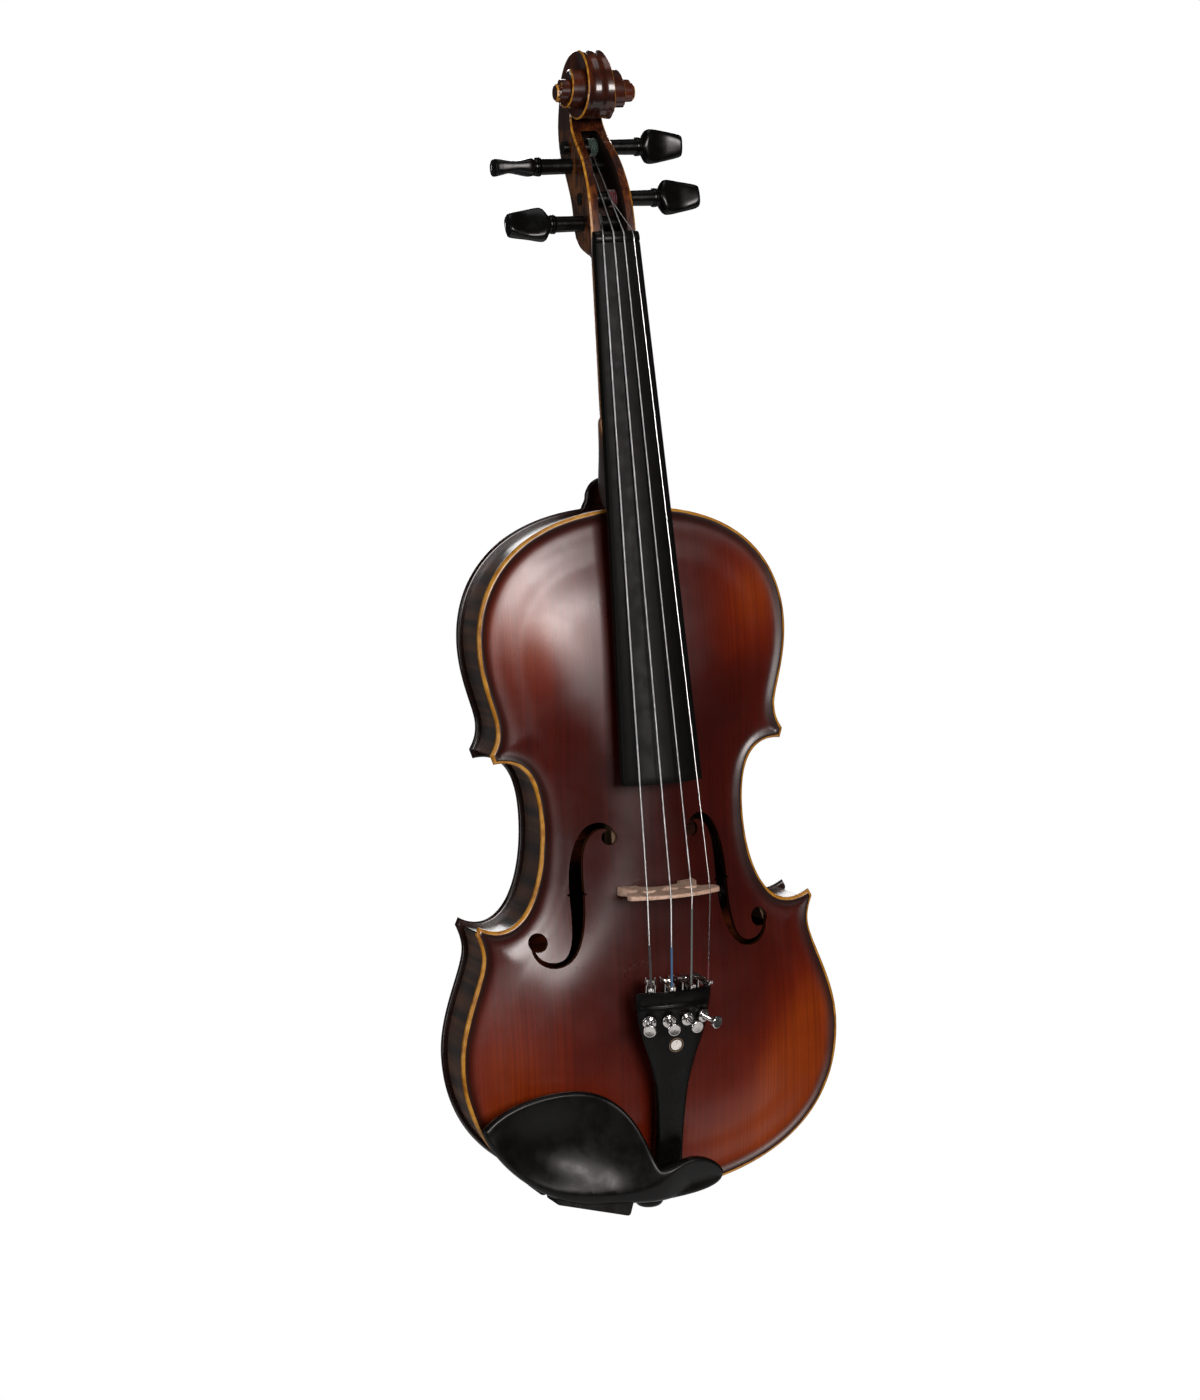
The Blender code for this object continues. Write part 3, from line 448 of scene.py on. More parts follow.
def corner_arc(start, corner, end, places):
    """A round corner (quadratic curve) between two points."""
    return [(1 - t) ** 2 * start + 2 * t * (1 - t) * corner + t * t * end for t in places]


def rounded_profile(profile, radius, steps=3):
    """A (radius, height) profile with its corners rounded off and its two ends kept."""
    p = np.array(profile, float)
    found = [p[0]]
    for a, b, c in zip(p, p[1:], p[2:]):
        reach = min(radius, 0.45 * np.linalg.norm(b - a), 0.45 * np.linalg.norm(c - b))
        start = b + (a - b) / max(np.linalg.norm(a - b), 1e-9) * reach
        end = b + (c - b) / max(np.linalg.norm(c - b), 1e-9) * reach
        found += corner_arc(start, b, end, np.linspace(0, 1, steps + 1))
    return found + [p[-1]]


def modified(made, kind, **settings):
    """Applies a modifier to a piece."""
    step = made.modifiers.new(kind.lower(), kind)
    for key, value in settings.items():
        setattr(step, key, value)
    bpy.context.view_layer.update()
    evaluated = made.evaluated_get(bpy.context.evaluated_depsgraph_get())
    result = bpy.data.meshes.new_from_object(evaluated)
    made.modifiers.clear()
    made.data = result


# Materials


class Finish:
    """A procedural material built from nodes around one Principled shader."""

    def __init__(self, name, **settings):
        self.material = bpy.data.materials.new(name)
        self.material.use_nodes = True
        self.tree = self.material.node_tree
        self.shader = self.tree.nodes["Principled BSDF"]
        for key, value in settings.items():
            self.set(key.replace("_", " "), value)

    def set(self, key, value):
        self.feed(self.shader.inputs[key], value)

    def feed(self, socket, value):
        if isinstance(value, bpy.types.NodeSocket):
            self.tree.links.new(value, socket)
        elif isinstance(value, tuple) and len(value) == 3 and socket.type == "RGBA":
            socket.default_value = (*value, 1)
        else:
            socket.default_value = value

    def add(self, kind, inputs=(), output=0, **settings):
        node = self.tree.nodes.new(kind)
        for key, value in settings.items():
            setattr(node, key, value)
        for key, value in dict(inputs).items():
            self.feed(node.inputs[key], value)
        return node.outputs[output]

    def place(self, scale=(1, 1, 1)):
        """Object coordinates in millimetres, scaled."""
        spot = self.add("ShaderNodeTexCoord", output="Object")
        scale = tuple(1000 * s for s in scale)
        return self.add("ShaderNodeMapping", {"Vector": spot, "Scale": scale})

    def value(self, name):
        return self.add("ShaderNodeAttribute", output="Fac", attribute_name=name)

    def noise(self, place, size=1.0, detail=3.0, rough=0.5, distortion=0.0):
        inputs = {"Vector": place, "Scale": 1 / size, "Detail": detail, "Roughness": rough}
        inputs["Distortion"] = distortion
        return self.add("ShaderNodeTexNoise", inputs)

    def ramp(self, factor, stops):
        node = self.tree.nodes.new("ShaderNodeValToRGB")
        self.feed(node.inputs[0], factor)
        marks = node.color_ramp.elements
        while len(marks) < len(stops):
            marks.new(0.5)
        for mark, (position, colour) in zip(marks, stops):
            mark.position = position
            grey = (colour,) * 3 if isinstance(colour, (int, float)) else colour
            mark.color = (*grey, 1)
        return node.outputs[0]

    def span(self, value, low, high, to_low=0.0, to_high=1.0, smooth=True):
        inputs = {"Value": value, "From Min": low, "From Max": high, "To Min": to_low, "To Max": to_high}
        kind = "SMOOTHSTEP" if smooth else "LINEAR"
        return self.add("ShaderNodeMapRange", inputs, interpolation_type=kind)

    def math(self, kind, a, b=0.0):
        return self.add("ShaderNodeMath", {0: a, 1: b}, operation=kind)

    def mix(self, factor, a, b, kind="MIX"):
        node = self.tree.nodes.new("ShaderNodeMix")
        node.data_type = "RGBA"
        node.blend_type = kind
        self.feed(node.inputs["Factor"], factor)
        self.feed(node.inputs["A"], a)
        self.feed(node.inputs["B"], b)
        return node.outputs["Result"]

    def varied(self, noise, low, high):
        """A noise spread over a range of values."""
        return self.span(noise, 0.3, 0.7, low, high)

    def tinted(self, colour, amount, tint):
        """The colour, multiplied by a tint where amount is 1."""
        return self.mix(amount, colour, self.mix(1.0, colour, tint, "MULTIPLY"))

    def bump(self, height, depth, strength=1.0):
        """Bump from a height of 0 to 1 that stands for depth millimetres."""
        inputs = {"Height": height, "Distance": depth * MM, "Strength": strength}
        self.set("Normal", self.add("ShaderNodeBump", inputs))


def spruce_finish():
    """Varnish from dark red-brown to orange over straight grain, with an amber rim, and inside it a dark
    border that is painted shade of the edge channel over the varnish's own darker edging.
    """
    f = Finish("varnished_spruce", Specular_IOR_Level=0.45)
    varied = f.math("ADD", f.value("glow"), f.varied(f.noise(f.place(), 38, 2), -0.08, 0.08))
    colour = f.ramp(
        varied,
        (
            (0.0, (0.028, 0.0018, 0.0006)),
            (0.3, (0.060, 0.0036, 0.0006)),
            (0.65, (0.125, 0.0105, 0.0006)),
            (1.0, (0.220, 0.031, 0.0008)),
        ),
    )
    fine = f.noise(f.place((1.15, 0.004, 0.0025)), 1.0, 1, 0.5)
    broad = f.noise(f.place((0.12, 0.004, 0.012)), 1.0, 2)
    colour = f.tinted(colour, f.span(fine, 0.36, 0.60, 0.6, 0.0), (0.62, 0.56, 0.52))
    colour = f.tinted(colour, f.varied(broad, 0.0, 0.35), (0.72, 0.62, 0.6))
    edge = f.value("edge")
    wander = f.math("ADD", edge, f.varied(f.noise(f.place(), 16, 2), -0.22, 0.22))
    # Painted shade: the band 2 to 8.5 mm in from the edge is darkened almost to black. It stands for the
    # shade in the edge channel as well as the varnish's darker edging.
    dark = f.span(wander, 2.0, 8.5, 1.0, 0.0)
    colour = f.mix(f.math("MULTIPLY", dark, 0.93), colour, (0.011, 0.0030, 0.0020))
    amber = f.ramp(
        f.noise(f.place(), 5, 3),
        ((0.3, (0.23, 0.082, 0.006)), (0.5, (0.38, 0.160, 0.014)), (0.72, (0.47, 0.230, 0.032))),
    )
    rim = f.span(wander, 1.35, 1.75, 1.0, 0.0)
    side = f.span(f.value("level"), 0.15, 0.35)
    colour = f.mix(f.math("MULTIPLY", rim, side), colour, amber)
    low = f.math("MULTIPLY", rim, f.math("SUBTRACT", 1.0, side))
    colour = f.mix(low, colour, (0.03, 0.008, 0.004))
    wood = f.value("wall")
    raw_grain = f.noise(f.place((0.3, 1.0, 0.05)), 1.0, 2)
    raw = f.ramp(raw_grain, ((0.3, (0.02, 0.008, 0.003)), (0.7, (0.07, 0.03, 0.008))))
    colour = f.mix(wood, colour, raw)
    f.set("Base Color", colour)
    f.set("Roughness", f.varied(f.noise(f.place(), 14, 2), 0.27, 0.31))
    f.bump(fine, 0.012, 0.4)
    return f.material


def maple_finish(name, light, dark, flame_place, gloss, rim=False):
    """Dark varnish over maple whose curls run across the grain; rim darkens the edge of a plate."""
    f = Finish(name, Roughness=gloss, Specular_IOR_Level=0.35, Coat_Weight=0.35, Coat_Roughness=0.14)
    curl = f.noise(flame_place(f), 1.0, 2, 0.45, 0.6)
    flame = f.span(curl, 0.38, 0.62)
    fine = f.noise(f.place((0.9, 0.9, 0.06)), 1.0, 3)
    patch = f.noise(f.place(), 45, 2)
    colour = f.mix(flame, dark, light)
    colour = f.tinted(colour, f.span(fine, 0.35, 0.65, 0.0, 0.45), (0.6, 0.55, 0.5))
    colour = f.tinted(colour, f.span(patch, 0.35, 0.7, 0.0, 0.6), (0.5, 0.42, 0.4))
    if rim:
        edge = f.math("ADD", f.value("edge"), f.varied(f.noise(f.place(), 8, 2), -0.5, 0.5))
        colour = f.mix(f.span(edge, 2.0, 11.0, 0.9, 0.0), colour, (0.006, 0.0025, 0.002))
    f.set("Base Color", colour)
    f.bump(f.noise(f.place(), 6, 3), 0.08, 0.4)
    return f.material


def head_finish():
    """The head's red-brown varnish, worn to amber on its chamfers and in patches on its cheeks."""
    settings = {"Roughness": 0.26, "Specular_IOR_Level": 0.3, "Coat_Weight": 0.45, "Coat_Roughness": 0.08}
    f = Finish("varnished_head", **settings)
    patch = f.noise(f.place((1, 1, 0.7)), 13, 4, 0.62, 0.5)
    grain = f.noise(f.place((1, 1, 0.08)), 1.1, 3)
    centred = f.math("SUBTRACT", grain, 0.5)
    dark = f.ramp(
        f.math("ADD", patch, f.math("MULTIPLY", centred, 0.35)),
        ((0.3, (0.010, 0.0026, 0.0016)), (0.5, (0.030, 0.0056, 0.0022)), (0.7, (0.080, 0.015, 0.003))),
    )
    worn = f.ramp(
        f.math("ADD", patch, f.math("MULTIPLY", centred, 0.6)),
        ((0.38, (0.014, 0.0045, 0.0028)), (0.5, (0.060, 0.016, 0.005)), (0.64, (0.19, 0.062, 0.011))),
    )
    colour = f.mix(f.value("cheek"), dark, worn)
    amber = f.ramp(
        f.noise(f.place(), 3, 3),
        ((0.3, (0.22, 0.075, 0.008)), (0.55, (0.44, 0.185, 0.018)), (0.75, (0.56, 0.29, 0.04))),
    )
    colour = f.mix(f.value("slope"), colour, amber)
    f.set("Base Color", colour)
    f.bump(f.noise(f.place(), 5, 3), 0.07, 0.4)
    return f.material


def hollow_finish():
    """The pegbox's dark, unvarnished hollow."""
    f = Finish("pegbox_hollow", Roughness=0.7, Specular_IOR_Level=0.2)
    grain = f.noise(f.place((1, 1, 0.1)), 1.2, 3)
    f.set("Base Color", f.ramp(grain, ((0.3, (0.008, 0.004, 0.003)), (0.7, (0.028, 0.012, 0.006)))))
    f.bump(grain, 0.06, 0.4)
    return f.material


def shaft_finish():
    """The neck's bare, curly maple, stained dark towards the head and the heel."""
    f = Finish("neck_wood", Roughness=0.4, Coat_Weight=0.25, Coat_Roughness=0.2)
    curl = f.noise(f.place((0.05, 0.05, 0.35)), 1.0, 2, 0.5, 0.5)
    grain = f.noise(f.place((1, 1, 0.05)), 0.9, 3)
    bare = f.mix(f.span(curl, 0.38, 0.62), (0.17, 0.062, 0.018), (0.30, 0.13, 0.04))
    bare = f.tinted(bare, f.span(grain, 0.35, 0.65, 0.0, 0.4), (0.6, 0.55, 0.5))
    colour = f.mix(f.value("stain"), bare, (0.032, 0.012, 0.008))
    f.set("Base Color", colour)
    f.bump(grain, 0.04, 0.4)
    return f.material


def ebony_finish(name, rough, grain_size=0.7, level=0.5):
    """Black wood with fine brown pores along z."""
    f = Finish(name, Specular_IOR_Level=level)
    grain = f.noise(f.place((1, 1, 0.04)), grain_size, 4, 0.6)
    black, dark, brown = (0.0012, 0.0011, 0.0010), (0.0024, 0.0022, 0.0019), (0.0058, 0.0048, 0.0038)
    f.set("Base Color", f.ramp(grain, ((0.3, black), (0.6, dark), (0.8, brown))))
    f.set("Roughness", f.varied(f.noise(f.place(), 6, 3), rough - 0.05, rough + 0.06))
    f.bump(grain, 0.05, 0.35)
    return f.material


def bridge_finish():
    """Pale maple with small flecks."""
    f = Finish("bridge_maple", Roughness=0.55)
    fleck = f.noise(f.place((1, 0.35, 1)), 1.3, 4, 0.65)
    streak = f.noise(f.place((0.25, 1, 0.6)), 1.5, 3)
    tones = ((0.3, (0.31, 0.185, 0.125)), (0.5, (0.46, 0.30, 0.22)), (0.68, (0.56, 0.39, 0.30)))
    colour = f.ramp(fleck, tones)
    colour = f.tinted(colour, f.span(streak, 0.5, 0.7, 0.0, 0.4), (0.72, 0.6, 0.5))
    f.set("Base Color", colour)
    f.bump(fleck, 0.08, 0.5)
    return f.material


def bare_wood_finish():
    # Bare wood for the pieces inside the body, its tones darkened well below bare spruce and maple as
    # painted shade of the dark inside of the body.
    f = Finish("bare_wood", Roughness=0.65)
    grain = f.noise(f.place((0.9, 0.9, 0.03)), 1.2, 4)
    tones = ((0.3, (0.07, 0.035, 0.013)), (0.6, (0.12, 0.07, 0.03)), (0.8, (0.16, 0.10, 0.05)))
    f.set("Base Color", f.ramp(grain, tones))
    f.bump(grain, 0.1, 0.4)
    return f.material


def metal_finish(name, colour, rough):
    scratch = 0.05
    f = Finish(name, Metallic=1.0)
    wear = f.noise(f.place(), 2.2, 4, 0.6)
    worn = tuple(c * 0.82 for c in colour)
    f.set("Base Color", f.mix(f.span(wear, 0.4, 0.7), colour, worn))
    f.set("Roughness", f.varied(f.noise(f.place((1, 1, 3)), 0.8, 3), rough - scratch, rough + scratch))
    f.bump(wear, 0.02, 0.3)
    return f.material


def wound_finish(name, colour):
    """A string wound with flat wire: fine rings along its length."""
    f = Finish(name, Metallic=1.0, Roughness=0.3)
    rings = f.add(
        "ShaderNodeTexWave",
        {"Vector": f.place(), "Scale": 1.3, "Distortion": 0.0, "Detail": 0.0},
        bands_direction="Z",
    )
    worn = tuple(c * 0.8 for c in colour)
    f.set("Base Color", f.mix(f.span(f.noise(f.place(), 3, 2), 0.3, 0.7), colour, worn))
    f.bump(rings, 0.05, 0.6)
    return f.material


def silk_finish(name, colour):
    """The coloured thread wound round a string's ends."""
    f = Finish(name, Roughness=0.6, Sheen_Weight=0.4)
    thread = f.noise(f.place((1, 1, 2.2)), 0.35, 2)
    f.set("Base Color", f.mix(thread, colour, tuple(c * 0.45 for c in colour)))
    f.bump(thread, 0.06, 0.6)
    return f.material


def pearl_finish():
    f = Finish("pearl", Roughness=0.2, Coat_Weight=0.6)
    cloud = f.noise(f.place(), 1.6, 3, 0.6, 1.2)
    tones = ((0.3, (0.42, 0.40, 0.36)), (0.5, (0.62, 0.60, 0.55)), (0.7, (0.74, 0.72, 0.70)))
    f.set("Base Color", f.ramp(cloud, tones))
    f.bump(cloud, 0.03, 0.3)
    return f.material


def cork_finish():
    f = Finish("cork", Roughness=0.85)
    grains = f.add("ShaderNodeTexVoronoi", {"Vector": f.place(), "Scale": 0.8})
    tones = ((0.1, (0.20, 0.10, 0.045)), (0.5, (0.38, 0.22, 0.11)), (0.9, (0.48, 0.31, 0.17)))
    f.set("Base Color", f.ramp(grains, tones))
    f.bump(grains, 0.2, 0.6)
    return f.material


SPRUCE = spruce_finish()
BACK = maple_finish(
    "varnished_back",
    (0.12, 0.026, 0.008),
    (0.045, 0.010, 0.005),
    lambda f: f.place((0.035, 0.02, 0.30)),
    0.24,
    rim=True,
)
RIB = maple_finish(
    "varnished_ribs",
    (0.135, 0.072, 0.050),
    (0.050, 0.042, 0.038),
    lambda f: f.add("ShaderNodeCombineXYZ", {"X": f.math("MULTIPLY", f.value("run"), 0.16)}),
    0.36,
)
HEAD = head_finish()
HOLLOW = hollow_finish()
SHAFT = shaft_finish()
BOARD_EBONY = ebony_finish("board_ebony", 0.5, level=0.1)
EBONY = ebony_finish("fitting_ebony", 0.30, level=0.16)
PEG_EBONY = ebony_finish("peg_ebony", 0.24, level=0.22)
REST_EBONY = ebony_finish("chinrest_ebony", 0.33, 1.1, level=0.2)
BRIDGE = bridge_finish()
BARE = bare_wood_finish()
CHROME = metal_finish("chrome", (0.62, 0.60, 0.58), 0.16)
BLACK_METAL = metal_finish("black_metal", (0.03, 0.03, 0.032), 0.32)
STEEL = wound_finish("string_winding", (0.66, 0.65, 0.64))
PLAIN_STEEL = metal_finish("plain_steel", (0.68, 0.67, 0.66), 0.22)
PEARL = pearl_finish()
RING = metal_finish("inlay_ring", (0.40, 0.27, 0.17), 0.35)
CORK = cork_finish()
NYLON = ebony_finish("tailgut", 0.42)
SILK = {
    "black": silk_finish("black_silk", (0.012, 0.012, 0.013)),
    "blue": silk_finish("blue_silk", (0.02, 0.12, 0.28)),
    "grey": silk_finish("grey_silk", (0.10, 0.13, 0.115)),
    "green": silk_finish("green_silk", (0.006, 0.045, 0.022)),
    "red": silk_finish("red_silk", (0.13, 0.005, 0.012)),
}


# Body


def sound_hole_shapes():
    """The treble hole as overlapping outlines: the slot, its two eyes and the two nicks."""
    steps = 14
    middle = chain(SOUND_HOLE, steps)
    normal = left_of(directions(middle))
    place = np.arange(len(middle)) / steps
    piece = np.minimum(place.astype(int), len(SOUND_HOLE) - 1)
    t = smooth_step(place - piece)
    widths = np.array(SOUND_HOLE_WIDTHS)
    half = ((1 - t) * widths[piece] + t * widths[piece + 1])[:, None] / 2
    slot = np.concatenate([middle + normal * half, (middle - normal * half)[::-1]])
    shapes = [slot]
    for centre, radius in SOUND_HOLE_EYES:
        shapes.append(centre + radius * circle(36))
    for side in (-1, 1):
        x = NICK_X + side * 3.4
        shapes.append(np.array([(x, NICK_Z - 1), (x + side * 1.5, NICK_Z), (x, NICK_Z + 1)]))
    return shapes


def edge_profile(away, radius):
    """How far a plate's rounded edge stands over its middle plane, up to half its thickness."""
    t = np.clip((radius - away) / radius, 0, 1)
    return EDGE / 2 * np.sqrt(np.maximum(0, 1 - t * t))


def make_plate(name, outline, side, rise, thickness, holes, material):
    """An arched plate; side is -1 for the front."""
    rim = closed(outline)
    rings = inner_rings(outline, (0.18, 0.5, 1.0, 1.6, 2.3, 3.1, 4.0, 5.1, 6.4, 8.0, 10.0), clockwise=True)
    hole_rings = [offset(hole, depth) for hole in holes for depth in (-0.7, 0.7, -1.7, 1.7)]
    grid = lattice((-106, 0), (106, BUTTON_TOP), 2.2)
    grid = clear_of(grid[inside(grid, outline)], rim, 10.8)
    extra = np.concatenate([*rings, grid])
    if holes:
        near = np.min([distance(extra, closed(hole)) for hole in holes], axis=0)
        extra = np.concatenate([extra[near > 0.9], spaced_out(np.concatenate(hole_rings), holes)])
    loops = [(loop, True) for loop in (outline, *holes)]
    plane, faces = triangles(loops, extra, between(outline, holes))
    away = distance(plane, rim)
    arch = soft_arching(plane, rise, rim)
    channel = 0.8 * smooth_step((away - 1.9) / 4.4) * (1 - smooth_step((away - 7) / 12))
    thick = EDGE - (EDGE - thickness) * np.clip(arch / 3, 0, 1)
    outer = RIB_HALF + EDGE / 2 + edge_profile(away, 1.7) + arch - channel + (thick - EDGE)
    inner = RIB_HALF + EDGE / 2 - edge_profile(away, 1.0) + arch
    points, solid = slab_mesh(plane, faces, side * outer, side * inner)
    count = len(plane)
    glow = np.concatenate([plate_glow(plane)] * 2)
    level = np.concatenate([np.ones(count), np.zeros(count)])
    wall = np.concatenate([np.zeros(count), np.clip((away - 4) / 2, 0, 1)])
    values = {"edge": np.tile(away, 2), "glow": glow, "level": level, "wall": wall}
    node = "top_plate" if side < 0 else "back_plate"
    slot = "varnished_spruce" if side < 0 else "varnished_maple"
    make(name, points, solid, material, node=node, slot=slot, values=values)


def spaced_out(points, holes, cell=0.6):
    """Ring points round the holes, clear of the holes' edges and at most one to a small square."""
    near = np.min([distance(points, closed(hole)) for hole in holes], axis=0)
    points = points[near > 0.55]
    kept = []
    seen = set()
    for p in points:
        key = (round(p[0] / cell), round(p[1] / cell))
        if key not in seen:
            seen.add(key)
            kept.append(p)
    return np.array(kept)


def soft_arching(points, rise, rim, step=1.5, rounds=3, reach=5):
    """The arching, averaged over a square grid so that it has no creases, at each point."""
    x = np.arange(-115, 115 + step, step)
    z = np.arange(-10, BUTTON_TOP + 12, step)
    grid = np.stack(np.meshgrid(x, z), -1).reshape(-1, 2)
    away = np.where(inside(grid, rim[:-1]), distance(grid, rim), 0)
    heights = arching(grid, rise, away).reshape(len(z), len(x))
    for _ in range(rounds):
        for axis in (0, 1):
            shifted = [np.roll(heights, k, axis) for k in range(-reach, reach + 1)]
            heights = np.mean(shifted, axis=0)
    column = (points[:, 0] - x[0]) / step
    row = (points[:, 1] - z[0]) / step
    i, j = row.astype(int), column.astype(int)
    u, v = row - i, column - j
    low = heights[i, j] * (1 - v) + heights[i, j + 1] * v
    high = heights[i + 1, j] * (1 - v) + heights[i + 1, j + 1] * v
    return (low * (1 - u) + high * u) * smooth_step((distance(points, rim) - 3) / 12)


def plate_glow(points):
    """How orange the varnish is: dark along the middle, lighter in the bouts."""
    x, z = points[:, 0], points[:, 1]
    spots = (
        (1.0, 92, 62, 34, 52),
        (0.46, -86, 76, 38, 42),
        (0.5, 60, 25, 50, 34),
        (0.35, -60, 34, 50, 34),
        (0.75, 66, 306, 28, 34),
        (0.75, -62, 300, 32, 40),
        (0.25, 0, 20, 80, 50),
    )
    glow = np.full(len(points), 0.18)
    for strength, cx, cz, wide, tall in spots:
        glow += strength * np.exp(-(((x - cx) / wide) ** 2) - ((z - cz) / tall) ** 2)
    glow -= 0.22 * np.exp(-((x / 50) ** 2) - ((z - 200) / 70) ** 2)
    return np.clip(glow, 0, 1)


def make_plates():
    shapes = sound_hole_shapes()
    holes = shapes + [mirrored(shape) for shape in shapes]
    make_plate("top_plate_shaped", OUTLINE, -1, TOP_ARCH, 3.0, holes, SPRUCE)
    make_plate("back_plate_shaped", BACK_OUTLINE, 1, BACK_ARCH, 4.0, [], BACK)


def make_ribs():
    """Six bent strips; run is the length along each, which places its flames."""
    heights = (RIB_HALF - 0.02) * np.linspace(-1, 1, 5)
    for name, run in zip(("upper", "middle", "lower"), HALF_RUNS):
        line = spaced(run, 1.2)
        lines = []
        for depth in (RIB_INSET, RIB_INSET + 1.2):
            moved = offset(line, -depth, False)
            moved = clear_of(moved, closed(FINE), depth - 0.25)
            moved[:, 0] = np.maximum(moved[:, 0], 0)
            lines.append(spaced(moved, 1.2))
        outer, inner = lines
        share, inner_share = np.linspace(0, 1, len(outer)), np.linspace(0, 1, len(inner))
        inner = np.column_stack([np.interp(share, inner_share, column) for column in inner.T])
        reach = length_along(outer)
        for side, sign in SIDES:
            rings = []
            for (x0, z0), (x1, z1) in zip(outer, inner):
                ring = [(sign * x0, y, z0) for y in heights] + [(sign * x1, y, z1) for y in heights[::-1]]
                rings.append(ring)
            values = {"run": np.repeat(reach + (40 if sign > 0 else 260), 2 * len(heights))}
            node = f"{name}_rib_{side}"
            make(f"{node}_shaped", *skin(rings), RIB, node=node, slot="varnished_maple", values=values)


# Head and neck

# Side view of the head, as (y, z)
VOLUTE_START = (33.5, 565.0)
VOLUTE_EYE = np.array((2.3, 564.6))
VOLUTE_RADII = (22, 21.5, 14, 13, 12, 11, 8.5, 7.5, 6.8, 6.2, 5.4)
VOLUTE_HALVES = (7.4, 5.6, 7.5, 9.2, 11.0, 12.7, 14.6, 16.2, 17.6, 18.8, 19.8, 20.6)
THROAT = 3.62
EYE_RADIUS = 4.6
EYE_HALF = 21.0
CHAMFER = 0.85
BACK_LINE = (
    (-9.0, 476.0),
    (-5.5, 479.5),
    (4.1, 484.7),
    (8.2, 491.0),
    (9.0, 498.0),
    (12.2, 510.7),
    (19.7, 523.0),
    (29.0, 536.0),
    (33.3, 550.0),
    (33.5, 565.0),
)
FRONT_LINE = (
    (15.2, 557.5),
    (14.6, 552.5),
    (11.4, 546.0),
    (4.2, 538.6),
    (-3.8, 530.6),
    (-10.1, 520.4),
    (-13.9, 511.0),
    (-15.9, 500.0),
    (-16.4, 492.0),
    (-15.6, 476.0),
)
# Height and half width of the pegbox
CHEEKS = ((476, 12.1), (491, 12.1), (500, 12.0), (511, 11.7), (520.5, 11.2), (530, 10.6))
CHEEKS += ((538.5, 10.0), (546, 9.4), (556, 8.5), (565, 7.5), (570, 7.2))


def volute_curve(steps):
    """The spiral as (turn in quarters, y, z)."""
    y, z = VOLUTE_START
    rows = []
    for i, radius in enumerate(VOLUTE_RADII):
        start = i * math.pi / 2
        centre = (y - radius * math.cos(start), z - radius * math.sin(start))
        for k in range(steps + (i == len(VOLUTE_RADII) - 1)):
            a = start + math.pi / 2 * k / steps
            rows.append((i + k / steps, centre[0] + radius * math.cos(a), centre[1] + radius * math.sin(a)))
        end = start + math.pi / 2
        y = centre[0] + radius * math.cos(end)
        z = centre[1] + radius * math.sin(end)
    return np.array(rows)


VOLUTE = volute_curve(24)
RADIAL = VOLUTE[:, 1:] - VOLUTE_EYE
POLAR = np.unwrap(np.arctan2(RADIAL[:, 1], RADIAL[:, 0]))
REACH = np.linalg.norm(RADIAL, axis=1)
TURN_HALF = np.interp(VOLUTE[:, 0], np.arange(len(VOLUTE_HALVES)), VOLUTE_HALVES)


def head_half(points):
    """Half width of the head at points (y, z) of its side view."""
    z = points[:, 1]
    cheek = np.interp(z, *zip(*CHEEKS))
    rounding = 1.0 + 8.0 * (1 - smooth_step((z - 480) / 18))
    near = np.clip(distance(points, through(BACK_LINE, 8)) / rounding, 0, 1)
    found = cheek - rounding * (1 - np.sqrt(1 - (1 - near) ** 2))
    front = distance(points, through(FRONT_LINE, 8))
    found = np.minimum(found, cheek - CHAMFER + front * 1.0)
    rel = points - VOLUTE_EYE
    reach = np.linalg.norm(rel, axis=1)
    angle = np.mod(np.arctan2(rel[:, 1], rel[:, 0]), 2 * np.pi)
    for turn in range(3):
        here = angle + 2 * np.pi * turn
        outer = np.interp(here, POLAR, REACH, right=EYE_RADIUS)
        inner = np.interp(here + 2 * np.pi, POLAR, REACH, right=EYE_RADIUS)
        half = np.interp(here, POLAR, TURN_HALF, right=EYE_HALF)
        share = np.clip((reach - inner) / np.maximum(outer - inner, 0.5), 0, 1)
        dish = 1.5 * smooth_step(here / 1.4) * (1 - share) ** 1.2
        level = np.minimum(half - dish, half - CHAMFER + (outer - reach))
        found = np.where(reach <= outer + 0.02, np.maximum(level, 0.5), found)
    level = EYE_HALF - np.maximum(0, reach - (EYE_RADIUS - CHAMFER))
    return np.where(reach <= EYE_RADIUS, level, found)


def head_outline(step):
    """The head's side view and its front line."""
    spiral = VOLUTE[(VOLUTE[:, 0] > 0.02) & (VOLUTE[:, 0] < THROAT)][:, 1:]
    lines = (through(BACK_LINE, 12), spiral, through(FRONT_LINE, 12))
    back, middle, front = (spaced(line, step) for line in lines)
    return np.concatenate([back, middle, front]), front


def head_triangles(outline, rim_line):
    """The head's side view in triangles whose edges follow the spiral, the eye and their chamfers."""
    rim = closed(outline)
    turns = [offset(rim_line, depth, False) for depth in (-0.12, 0.0, CHAMFER, CHAMFER + 0.35)]
    radii = (EYE_RADIUS + 0.1, EYE_RADIUS, EYE_RADIUS - CHAMFER, EYE_RADIUS - CHAMFER - 0.35)
    eyes = [VOLUTE_EYE + radius * circle(40) for radius in radii]
    rings = inner_rings(outline, (0.3, CHAMFER, CHAMFER + 0.35, 2.2, 3.5))
    grid = lattice((-18, 476), (35, 588), 1.15)
    extra = np.concatenate([*rings, clear_of(grid, rim, 0.6)])
    extra = extra[inside(extra, outline)]
    for line in turns + eyes:
        extra = clear_of(extra, line, 0.28)
    deep = [(clear_of(line[inside(line, outline)], rim, 0.35), False) for line in turns]
    loops = [(outline, True), *deep, *((line, True) for line in eyes)]
    return triangles(loops, extra, between(outline, []))


